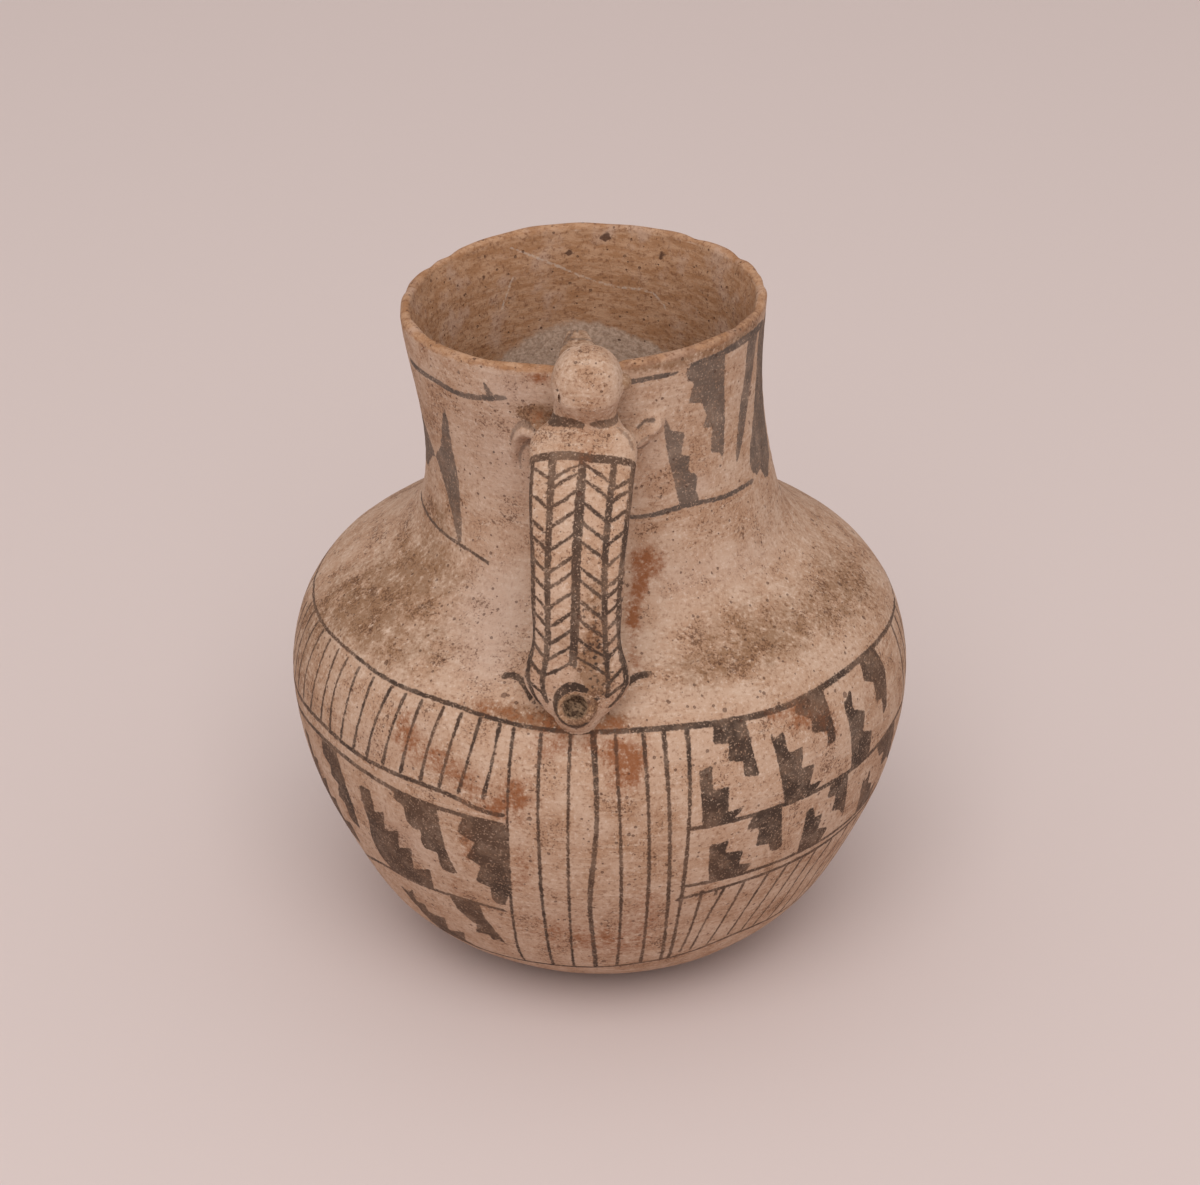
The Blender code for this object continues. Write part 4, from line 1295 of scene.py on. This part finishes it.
# %% [markdown]
# Centuries in the ground left dirt in the creases of the forelegs and round the snout. The dark
# lines there are that dirt and painted shade of the creases, with dark marks for nostrils. Grit
# is stuck low on the right of the strap. All are thin brush lines too, weaker than the paint. The
# grit's places are drawn at random from the same seeded generator, as nobody would place it.

# %% Dirt, painted crease shade and grit
# Dirt and painted shade in the creases: places on the neck, widths in mm and strength
DIRT_AND_CREASE_SHADE = [([(-25.8, 164.4), (-23.8, 168.3), (-19.2, 171.0), (-14.0, 170.2)], [0.5, 1.1, 1.3, 0.9], 0.5),
        ([(-24.2, 155.8), (-23.5, 160.3), (-20.8, 164.4), (-16.5, 167.2), (-12.4, 168.8)],
         [0.4, 0.8, 0.9, 1.0], 0.5),
        ([(8.4, 170.8), (11.4, 169.5), (14.0, 166.3), (15.1, 164.5)], [1.5, 1.2, 1.0, 0.6], 0.8),
        ([(10.2, 167.2), (12.2, 165.4), (14.6, 164.2), (17.4, 164.4), (20.0, 165.6)],
         [0.5, 0.6, 0.9, 0.4], 0.55),
        ([(14.2, 165.8), (16.6, 167.6), (19.4, 168.8)], [0.4, 0.6, 0.4], 0.4),
        ([(16.2, 169.9), (18.8, 171.5), (21.2, 171.8)], [0.5, 0.8, 1.2], 0.8)]
GRIT_COUNT = 60
NOSTRIL_DIRT_AND_SHADE = (-3.2, 0.6)

for places, wide, strength in DIRT_AND_CREASE_SHADE:
    line(strokes, pressed, places, wide, strength)
for _ in range(GRIT_COUNT):
    share, down = draw.normal(0.40, 0.15), draw.uniform(50, 77)
    line(figures, handle, [(share, down), (share + 0.02, down + 0.2)], draw.uniform(0.9, 1.5))
tip = outwards[in_slots("snout")[corner_face]].min()
# Dark lines down the snout's side and across it are dirt and painted shade of its crease, and the marks at
# its tip are dark nostrils that the mesh doesn't have, dirt and painted shade
line(strokes, beak, [(-6.0, tip + 10), (-4.6, tip + 4), (-4.2, tip + 0.6)], [1.4, 1.1, 0.8], 0.55)
line(bands, beak, [(-6.5, tip + 7.6), (-2, tip + 6.8), (4.4, tip + 7.8)], [1.6, 1.2, 1.6], 0.5)
for nostril in NOSTRIL_DIRT_AND_SHADE:
    line(figures, beak, [(nostril, tip + 0.6), (nostril + 0.1, tip + 2.6)], 0.8, 0.6)
print("dirt lines:", len(DIRT_AND_CREASE_SHADE), " grains of grit:", GRIT_COUNT)

# %% [markdown]
# Inside the neck the slip stops at a wavy edge, above a bare grey wall, and a few white lines
# are scratched through it. The same layers hold those scratches, the spots where flakes sprang
# off, and the distance to that edge.

# %% Inside
SLIP_EDGE = [(-180, 158), (-120, 156), (-70, 154.5), (-39.3, 155.3), (-22.7, 159.5), (-8.5, 161.6),
             (5, 160.8), (13.8, 159.2), (26.6, 155.9), (60, 154.5), (120, 157), (180, 158)]
SCRATCHES = [([(-28.8, 184.8), (-7, 176.4), (12.5, 171.7), (28.1, 170), (32.6, 165.5)],
              [0.3, 0.6, 0.5, 0.4]),
             ([(-28.4, 176.4), (-35.8, 168)], 0.4)]
# Where flakes sprang off the lining: angle, height and width of each in mm
SPALLS = [(7.5, 185.0, 2.6), (21.5, 185.6, 1.3), (20.5, 183.6, 1.3), (28.6, 182.0, 2.2),
          (-5.4, 181.2, 2.0), (-3, 183.5, 0.7), (12, 183.6, 0.6), (33, 178.5, 0.8), (40, 172, 0.7),
          (-52, 176, 0.8), (60, 180, 1.0)]
# The same on the outside, where specks of iron melted out
SPOTS = [(-20.2, 54.8, 1.1), (22.2, 53.6, 0.6), (-32.1, 126.4, 0.9), (-26.7, 125.2, 0.8), (-27.5, 120, 0.7),
         (-24.4, 125.9, 0.5), (-41, 181.5, 1.2), (-36.5, 174, 0.5), (-33, 160, 0.7), (-48, 182.5, 0.9),
         (-28, 148, 0.6), (31, 172.4, 0.5), (36, 128, 0.6), (46, 121, 0.7), (8, 30.5, 0.8), (-8, 44, 0.5)]

edge_turn, edge_height = smooth_curve(SLIP_EDGE, 160).T
bare = np.interp(inside["across"], edge_turn, edge_height) - height
for route, wide in SCRATCHES:
    line(strokes, inside, route, wide)
for turn_at, high, wide in SPALLS:
    line(figures, inside, [(turn_at - 0.5, high), (turn_at + 0.5, high + 0.3)], wide)
for turn_at, high, wide in SPOTS:
    line(figures, front, up([(turn_at - 0.2, high), (turn_at + 0.2, high + 0.1)]), wide)
line(figures, animal, [(-6.9, 186.4), (-6.0, 186.9)], 0.6)
print("scratches inside:", len(SCRATCHES), " spalls and spots:", len(SPALLS + SPOTS))

# %% [markdown]
# Firing, use and burial left stains. Each is a soft round or oval patch on the wall or on the
# animal: rust where iron lay, brown clouds from the fire and pale places where the slip is thin.
# Two brown patches in the hollow above the left foreleg are residue there and painted shade. The
# shader breaks them up later, here they are only smooth hills of strength. The head blushes, and
# the tail is sooty.

# %% Stains
# Each patch: angle, height, half width and half height in mm, strength
RUST = [(-39, 95, 5, 6, 0.9), (-35.5, 91, 5, 5, 0.8), (-30, 90, 5, 5, 0.9), (-24.5, 86, 5.4, 5, 0.9),
        (-15, 84, 6, 7, 1.1), (-20, 79.5, 6, 3, 0.9), (-9, 97.8, 5, 3.6, 1.0), (-1, 98.5, 6, 3, 0.9),
        (5.2, 96, 6, 5, 1.1), (4, 90, 5, 5, 0.9), (39.5, 97, 5.4, 5, 1.1), (45.5, 91.5, 4, 6, 1.0),
        (33, 99.5, 3.4, 2.4, 0.8), (14.6, 132.6, 4.4, 4.4, 1.5), (11.8, 126.8, 2.6, 3, 1.0),
        (8.8, 121.4, 2.4, 4.4, 1.5), (7.8, 113.6, 1.8, 2.6, 0.9), (-21, 104.2, 10, 1.9, 0.9),
        (-9, 103.4, 9, 2.2, 1.0), (2, 103.4, 6, 1.6, 1.0), (-24.8, 66, 3.4, 10, 0.8), (-30, 47, 6, 6, 0.5),
        (-14, 60, 6, 12, 0.6), (-9, 36, 13, 10, 0.6), (3, 32, 12, 8, 0.6), (9, 46, 8, 16, 0.6),
        (58, 94, 5, 9, 0.5), (-13.8, 184.6, 3, 2, 1.2), (-14.5, 173, 4, 2.4, 0.8),
        (-58, 184.6, 3.0, 2.0, 0.8), (-45, 183, 3, 2, 0.6), (60, 60, 7, 12, 0.4), (150, 88, 10, 12, 0.9),
        (-140, 60, 8, 12, 0.8), (200, 120, 8, 5, 0.8), (120, 40, 12, 10, 0.6)]
# Brown clouds from the fire; the two near 173 mm, at -14.5 and -19.6 degrees, darken the hollow above the
# left foreleg as residue and painted shade
CLOUDS_AND_HOLLOW_SHADE = [(-59, 121, 20, 11, 1.1), (-64, 110, 13, 5, 0.9), (-50, 107, 18, 3.6, 0.6), (-38, 112, 12, 4, 0.5),
          (-14, 103.6, 14, 2.2, 1.7), (-2, 103.6, 11, 2.0, 1.7), (-76, 100, 14, 16, 0.8),
          (25, 110.5, 18, 3.4, 0.8), (52, 112, 26, 5, 0.8), (78, 110, 20, 8, 0.7), (34, 117, 16, 6, 0.5),
          (-14.5, 173.2, 4.4, 2.8, 2.0), (-19.6, 174.2, 3.4, 2.2, 1.1), (-80, 160, 14, 20, 0.6),
          (-62, 135, 8, 5, 0.5), (80, 160, 10, 20, 0.4), (40, 170, 20, 14, 0.3), (130, 110, 30, 8, 0.6),
          (-130, 100, 26, 14, 0.7), (180, 70, 22, 30, 0.45), (-160, 150, 16, 20, 0.4),
          (-80, 60, 14, 30, 0.5), (38, 187, 11, 2.6, 1.3), (62, 188, 10, 2.6, 1.4), (20, 187, 7, 2, 0.8),
          (-40, 186, 10, 2, 0.5), (-100, 186, 12, 3, 0.7), (150, 188, 14, 3, 0.6)]
PALE = [(-31, 121, 13, 10, 0.9), (-24, 112, 7, 6, 0.5), (20, 160, 14, 14, 0.3), (10, 40, 24, 14, 0.3),
        (-30, 160, 16, 20, 0.6), (-22, 180, 8, 6, 0.6), (45, 86, 16, 8, 0.3), (50, 126, 22, 6, 0.5),
        (24, 128, 10, 6, 0.3), (-34, 98, 6, 4, 0.4), (-38, 60, 14, 9, 0.5), (-46, 87, 8, 5, 0.4),
        (36, 150, 5, 4, 0.5), (-120, 70, 20, 20, 0.5), (140, 50, 24, 18, 0.5), (170, 160, 20, 14, 0.5)]
# The same on the strap: share of its half width, run along it in mm
STRAP_RUST = [(0.08, 18.4, 1.8, 3.0, 1.2), (0.45, 60, 5, 9, 0.45), (0.1, 10, 4, 5, 0.5),
              (0.3, 46, 4, 6, 0.3)]
STRAP_CLOUD = [(0.4, 52, 2.6, 8, 1.1), (0.42, 66, 4, 7, 1.5), (0.3, 73, 4, 4, 1.4), (-0.3, 61, 3, 3, 0.7)]
# How brown the pieces of the head are all over
BROWNED = {"head": 0.26, "snout": 1.0, "ear": 0.8}


def patches(place, items):
    """The sum of soft patches over all corners, each 1 / e strong at its half width and height."""
    total = np.zeros(len(corner_face))
    for across, along, wide, tall, strength in items:
        apart = place["across"] - across
        if place is not handle:
            apart = (apart + 180) % 360 - 180
        sized = (apart * place["scale"] / wide, (place["along"] - along) / tall)
        total += strength * np.exp(-sized[0] ** 2 - sized[1] ** 2)
    return total


wall = place_of(turn, height, degree, outside)
open_side = in_slots("outside", "snout", "ear", "legs")[corner_face]
open_side = open_side + blend(height, 181, 186) * in_slots("inside")[corner_face]
strap_side = in_slots("strap", "tail")[corner_face]
blush = 0.40 * np.exp(-((sideways - 2.0) / 11) ** 2 - ((height - 181) / 9) ** 2)
soot = 0.9 * blend(along_tail, 4.0, 6.5) * in_slots("tail")[corner_face]
rust = patches(wall, RUST) * open_side + patches(handle, STRAP_RUST) * strap_side
rust += np.where(in_slots("head")[corner_face], blush, 0.0)
cloud_and_hollow_shade = patches(wall, CLOUDS_AND_HOLLOW_SHADE) * open_side + patches(handle, STRAP_CLOUD) * strap_side + soot
cloud_and_hollow_shade += np.array([BROWNED.get(name, 0.0) for name in SLOTS])[face_slot[corner_face]]
pale = patches(wall, PALE) * open_side
print("patches:", len(RUST + CLOUDS_AND_HOLLOW_SHADE + PALE + STRAP_RUST + STRAP_CLOUD))

# %% [markdown]
# The layers go onto the mesh as vectors on the face corners, where the shader can read them. A
# last one tells the shader what is inside or on the worn lip, how far below the slip's edge a
# corner is, and how deep it lies in the pit of the tail.

# %% Layers on the mesh
LIP_WORN = 3.4
PIT_EDGE = 1.3
PIT_START = 3.0
pit = np.clip(PIT_EDGE - np.hypot(tail_side, tail_up) / (TAIL_HOLE_RADIUS / MM), 0, 1)
pit = np.where((along_tail > PIT_START) & strap_side, pit, 0.0)
rim_high = HEIGHT + RIM_RADIUS * np.sin(around) * math.tan(RIM_TILT)
rim_high += RIM_WAVE * np.cos(2 * (around - math.pi / 2 - RIM_WAVE_TURN))
worn = np.clip(1.05 - (rim_high / MM - height) / LIP_WORN, 0, 1) * outside[corner_face]
lined = np.maximum(worn, in_slots("inside")[corner_face])
zone = np.stack([lined, bare, pit], axis=1)
stains = np.stack([rust, cloud_and_hollow_shade, pale], axis=1)
layers = {"bands": bands["value"], "strokes": strokes["value"], "figures": figures["value"],
          "stains": stains, "zone": zone}
for name, values in layers.items():
    layer = mesh.attributes.new(name, "FLOAT_VECTOR", "CORNER")
    layer.data.foreach_set("vector", values.astype(np.float32).ravel())
print("layers:", ", ".join(layers))

# %% [markdown]
# A shader is a graph of small nodes. These helpers add one node to the clay's graph and feed it
# with numbers or with the outputs of others, so that the look reads like a sum. A noise node
# gives the irregular parts, always in the object's own millimetres, so that they stay on the pot
# when it is moved.

# %% Node helpers
clay = bpy.data.materials.new("painted_clay")
clay.use_nodes = True
tree = clay.node_tree


def rgb(red, green, blue):
    """A screen colour of 0 to 255 as the linear colour that shaders use."""
    share = np.array([red, green, blue]) / 255
    return (*np.where(share < 0.0405, share / 12.92, ((share + 0.055) / 1.055) ** 2.4), 1.0)


def put(kind, values=None, out=0, **settings):
    """Add a node, set it up, feed its inputs with values or links, and return one output."""
    item = tree.nodes.new(kind)
    for name, value in settings.items():
        setattr(item, name, value)
    for key, value in (values or {}).items():
        if isinstance(value, bpy.types.NodeSocket):
            tree.links.new(value, item.inputs[key])
        else:
            item.inputs[key].default_value = value
    return item.outputs[out]


def calc(operation, a, b=0.0):
    """One step of arithmetic."""
    return put("ShaderNodeMath", {0: a, 1: b}, operation=operation)


times, plus, minus, larger = (partial(calc, name) for name in ("MULTIPLY", "ADD", "SUBTRACT", "MAXIMUM"))


def between(value, low, high):
    """0 at low, 1 at high, with a smooth S between them."""
    return put("ShaderNodeMapRange", {0: value, 1: low, 2: high}, interpolation_type="SMOOTHSTEP")


def mixed(factor, a, b):
    """Colour a turned into colour b by a factor."""
    return put("ShaderNodeMix", {0: factor, 6: a, 7: b}, out=2, data_type="RGBA")


def tinted(colour, tint, share, where):
    """A colour turned a share of the way into a tint, in the places that a pattern gives."""
    return mixed(times(where, share), colour, tint)


def stretched(place, factors):
    """The places with each direction multiplied by its own factor."""
    return put("ShaderNodeVectorMath", {0: place, 1: factors}, operation="MULTIPLY")


def grain(place, scale, detail=2.0, rough=0.5):
    """Noise of about 0.5 whose features are 1 / scale millimetres wide."""
    return put("ShaderNodeTexNoise", {"Vector": place, "Scale": scale, "Detail": detail, "Roughness": rough})


print("node helpers ready")

# %% [markdown]
# Three more helpers read what the mesh carries. Paint is full within a mark's half width and
# fades over a quarter of a millimetre, at an edge that a noise pushes to and fro, as a brush on
# rough clay leaves it. The pits are spots near the points of a cell pattern.

# %% Readers of the layers
SOFT_LINE = (-0.24, 0.16)
SOFT_FIGURE = (-0.16, 0.22)


def parts_of(layer):
    """The three numbers of a layer of the mesh."""
    value = put("ShaderNodeAttribute", out=1, attribute_name=layer)
    return put("ShaderNodeSeparateXYZ", {0: value}).node.outputs


def brushed(layer, wobble):
    """How much paint a layer has: full within the half width, with a soft and uneven edge."""
    gap, half_width, strength = parts_of(layer)
    within = minus(half_width, calc("ABSOLUTE", gap))
    return times(between(plus(within, wobble), *SOFT_LINE), strength)


def filled(wobble):
    """The same for figures, whose distance is below zero inside, and for the lines among them."""
    gap, half_width, strength = parts_of("figures")
    within = minus(half_width, calc("ABSOLUTE", gap))
    is_line = calc("GREATER_THAN", half_width, 0.001)
    chosen = put("ShaderNodeMix", {0: is_line, 2: times(gap, -1.0), 3: within})
    return times(between(plus(chosen, wobble), *SOFT_FIGURE), strength)


def dots(place, rough, scale, reach, share):
    """Round spots: near the points of a cell pattern, in a share of the cells, of mixed sizes."""
    cells = put("ShaderNodeTexVoronoi", {"Vector": place, "Scale": scale}).node
    chance = put("ShaderNodeSeparateColor", {0: cells.outputs["Color"]})
    near = minus(times(chance.node.outputs[1], reach), cells.outputs["Distance"])
    near = plus(near, times(minus(rough, 0.5), 0.9 * reach))
    return times(between(near, 0.0, 0.3 * reach), calc("LESS_THAN", chance, share))


print("layers to read:", len(layers))

# %% [markdown]
# The clay's look comes in steps, and the first is the bare slip. Two slow noises mottle it, a
# noise that is drawn out sideways gives the marks of wiping, and a fine one gives dark and pale
# grains.

# %% Slip
SLIP, SLIP_DARK, SLIP_PALE = rgb(178, 142, 117), rgb(168, 130, 103), rgb(188, 157, 135)
RUBBED, DARK_GRAIN, PALE_GRAIN = rgb(198, 170, 149), rgb(130, 91, 66), rgb(210, 186, 168)
WIPING_STRETCH = (0.24, 0.24, 1.4)

shader = tree.nodes["Principled BSDF"]
place = put("ShaderNodeTexCoord", out=3)
place = put("ShaderNodeVectorMath", {0: place, "Scale": 1 / MM}, operation="SCALE")
flat = stretched(place, WIPING_STRETCH)
broad = grain(place, 0.022, 3.0)
middling = grain(place, 0.11, 4.0, 0.6)
fine = grain(place, 0.9, 4.0, 0.7)
specks = grain(place, 1.5, 3.0, 0.75)
wiped = grain(flat, 0.55, 3.0, 0.65)
slip = mixed(between(broad, 0.35, 0.65), SLIP, SLIP_DARK)
slip = mixed(between(middling, 0.36, 0.68), slip, SLIP_PALE)
slip = tinted(slip, RUBBED, 0.5, between(wiped, 0.50, 0.66))
slip = tinted(slip, DARK_GRAIN, 0.62, between(fine, 0.52, 0.68))
slip = tinted(slip, PALE_GRAIN, 0.55, between(fine, 0.46, 0.32))
print("slip nodes:", len(tree.nodes))

# %% [markdown]
# The stains are smooth hills on the mesh. Multiplied by a ragged noise and cut off, they break up
# into blots with frayed edges. Dark specks crowd where the clay is dark already.

# %% Stains in the slip
THIN_SLIP, CLOUD_AND_SHADE_BROWN = rgb(190, 164, 149), rgb(126, 90, 60)
RUST_BROWN, SPECK_BROWN = rgb(138, 82, 46), rgb(92, 60, 42)

rust_hill, cloud_and_shade_hill, pale_hill = parts_of("stains")
blotches = grain(place, 0.28, 5.0, 0.7)
ragged = plus(times(blotches, 3.6), times(fine, 2.2))
ragged = larger(minus(ragged, 1.9), 0.0)
rust_part = between(times(rust_hill, ragged), 0.22, 1.70)
cloud_and_shade_part = between(times(cloud_and_shade_hill, ragged), 0.10, 1.40)
slip = tinted(slip, THIN_SLIP, 0.5, between(pale_hill, 0.0, 1.0))
# The brown patches include painted shade in the hollow above the left foreleg
slip = tinted(slip, CLOUD_AND_SHADE_BROWN, 0.72, cloud_and_shade_part)
slip = tinted(slip, RUST_BROWN, 0.92, rust_part)
crowd = minus(specks, times(middling, 0.8))
crowd = plus(crowd, times(cloud_and_shade_part, 0.07))
slip = tinted(slip, SPECK_BROWN, 0.75, between(crowd, 0.205, 0.31))
print("with the stains:", len(tree.nodes))

# %% [markdown]
# The paint covers the slip where a mark of any layer does. Pale flecks and worn patches let the
# slip through, and the paint is greyer on the neck, behind the handle, than on the body.

# %% Paint
PAINT_DARK, PAINT_BROWN = rgb(62, 46, 37), rgb(84, 61, 47)
PAINT_ON_NECK, RUST_ON_PAINT = rgb(90, 76, 68), rgb(130, 78, 48)
NECK_HEIGHTS = (118.0, 150.0)
NECK_FRONTS = (-56.0, -47.0)

wobble = times(minus(grain(place, 0.7, 3.0, 0.7), 0.5), 1.1)
stroke_paint = brushed("strokes", wobble)
figure_paint = filled(wobble)
paint = larger(larger(brushed("bands", wobble), stroke_paint), figure_paint)
flecks = between(grain(place, 1.7, 2.0, 0.6), 0.57, 0.66)
patchy = between(grain(place, 0.2, 3.0, 0.6), 0.40, 0.66)
lasting = times(minus(1.0, times(flecks, 0.6)), plus(times(patchy, -0.20), 0.98))
forward, high = put("ShaderNodeSeparateXYZ", {0: place}).node.outputs[1:]
on_neck_part = times(between(high, *NECK_HEIGHTS), between(forward, *NECK_FRONTS))
dark = mixed(between(broad, 0.42, 0.58), PAINT_DARK, PAINT_BROWN)
dark = mixed(on_neck_part, dark, PAINT_ON_NECK)
painted = mixed(times(paint, lasting), slip, dark)
painted = tinted(painted, RUST_ON_PAINT, 0.35, rust_part)
print("with the paint:", len(tree.nodes))

# %% [markdown]
# The inside of the neck has a browner slip, streaked by the hand that wiped it round, and grey
# clay below the slip's uneven edge. The spots where flakes sprang off show dark, and the
# scratches show pale. The lip is worn through to the same brown.

# %% Lining of the neck
LINING, LINING_PALE, LINING_RUBBED = rgb(156, 112, 79), rgb(180, 140, 110), rgb(190, 160, 142)
LINING_GRAIN, LINING_SPECK, LINING_CLOUD = rgb(116, 76, 52), rgb(88, 56, 40), rgb(118, 82, 60)
SCRATCHED, SPALLED = rgb(206, 188, 174), rgb(70, 42, 30)
BARE_DARK, BARE_PALE = rgb(156, 128, 108), rgb(196, 168, 148)
STREAK_STRETCH = (0.20, 0.20, 0.75)

inner, below_slip, hollow = parts_of("zone")
streaks = grain(stretched(place, STREAK_STRETCH), 0.9, 4.0, 0.7)
brown = mixed(between(streaks, 0.36, 0.66), LINING, LINING_PALE)
brown = tinted(brown, LINING_RUBBED, 0.5, between(middling, 0.5, 0.7))
brown = tinted(brown, LINING_GRAIN, 0.7, between(fine, 0.50, 0.68))
brown = tinted(brown, LINING_SPECK, 0.7, between(specks, 0.61, 0.69))
brown = tinted(brown, LINING_CLOUD, 0.5, cloud_and_shade_part)
brown = tinted(brown, SCRATCHED, 0.45, times(stroke_paint, between(fine, 0.38, 0.56)))
bare_clay = mixed(between(fine, 0.32, 0.66), BARE_DARK, BARE_PALE)
uneven_edge = plus(below_slip, times(minus(blotches, 0.5), 5.0))
lining = mixed(between(uneven_edge, -0.9, 1.2), brown, bare_clay)
lining = tinted(lining, SPALLED, 0.85, figure_paint)
body = mixed(between(plus(inner, times(blotches, 0.9)), 0.80, 1.05), painted, lining)
print("with the lining:", len(tree.nodes))

# %% [markdown]
# Last come small pits in two sizes and the rough pit in the tail. A bump node lets grains and
# pits catch the light, without more faces. Fired clay is matt, so the shader is rough.

# %% Pits and bump
PIT_BROWN, TAIL_PIT_DARK, TAIL_PIT_PALE = rgb(84, 54, 40), rgb(66, 46, 33), rgb(138, 110, 86)
CLAY_ROUGHNESS = 0.82
CLAY_SHINE = 0.25
BUMP_STRENGTH = 0.8

pits = larger(dots(place, fine, 0.6, 0.30, 0.45), dots(place, fine, 0.16, 0.15, 0.20))
body = tinted(body, PIT_BROWN, 0.62, pits)
tail_clay = mixed(between(fine, 0.4, 0.62), TAIL_PIT_DARK, TAIL_PIT_PALE)
body = mixed(between(times(hollow, plus(fine, 0.7)), 0.1, 0.4), body, tail_clay)
relief = times(plus(fine, times(wiped, 0.6)), 0.24)
relief = plus(minus(relief, times(pits, 0.40)), times(middling, 0.40))
bump = put("ShaderNodeBump", {"Height": relief, "Strength": BUMP_STRENGTH, "Distance": MM})
tree.links.new(body, shader.inputs["Base Color"])
tree.links.new(bump, shader.inputs["Normal"])
shader.inputs["Roughness"].default_value = CLAY_ROUGHNESS
shader.inputs["Specular IOR Level"].default_value = CLAY_SHINE
mesh.materials.clear()
mesh.materials.append(clay)
mesh.polygons.foreach_set("material_index", np.zeros(len(mesh.polygons), np.int32))
print("clay nodes:", len(tree.nodes))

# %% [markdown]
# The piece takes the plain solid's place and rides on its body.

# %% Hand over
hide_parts("pitcher")
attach(pitcher, "root")
print("handed over:", pitcher.name)

# %% [markdown]
# The studio is soft: a warm room light from all sides and one large lamp above the camera
# that also reaches into the neck. The paper is a plain pinkish grey. The standard view keeps
# the colours as they were chosen.

# %% Paper and light
PAPER_PINK = rgb(209, 193, 189)
PAPER_ROUGHNESS = 0.95
ROOM_COLOUR = (1.0, 0.97, 0.95, 1.0)
ROOM_STRENGTH = 0.69
LAMP_PLACE = (-0.05, -1.65, 2.15)
LAMP_AIM = mathutils.Vector((0.0, 0.0, 0.1))
LAMP_SIZE = 2.0
LAMP_POWER = 42.0

cover = bpy.data.materials.new("pale_paper")
cover.use_nodes = True
paper_inputs = cover.node_tree.nodes["Principled BSDF"].inputs
paper_inputs["Base Color"].default_value = PAPER_PINK
paper_inputs["Roughness"].default_value = PAPER_ROUGHNESS
paper.data.materials.append(cover)
room = bpy.data.worlds.new("room")
room.use_nodes = True
room_inputs = room.node_tree.nodes["Background"].inputs
room_inputs["Color"].default_value = ROOM_COLOUR
room_inputs["Strength"].default_value = ROOM_STRENGTH
bpy.context.scene.world = room
lamp = bpy.data.lights.new("soft box", "AREA")
lamp.energy = LAMP_POWER
lamp.size = LAMP_SIZE
lamp_object = bpy.data.objects.new("soft box", lamp)
lamp_object.location = LAMP_PLACE
lamp_object.rotation_euler = (LAMP_AIM - lamp_object.location).to_track_quat("-Z", "Y").to_euler()
bpy.context.scene.collection.objects.link(lamp_object)
bpy.context.scene.view_settings.view_transform = "Standard"
print("lamp of", lamp.size, "m at", tuple(round(side, 2) for side in lamp_object.location))

# %% Finish
low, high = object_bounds()
print("visual box in mm:", [round(side / MM, 1) for side in high - low])
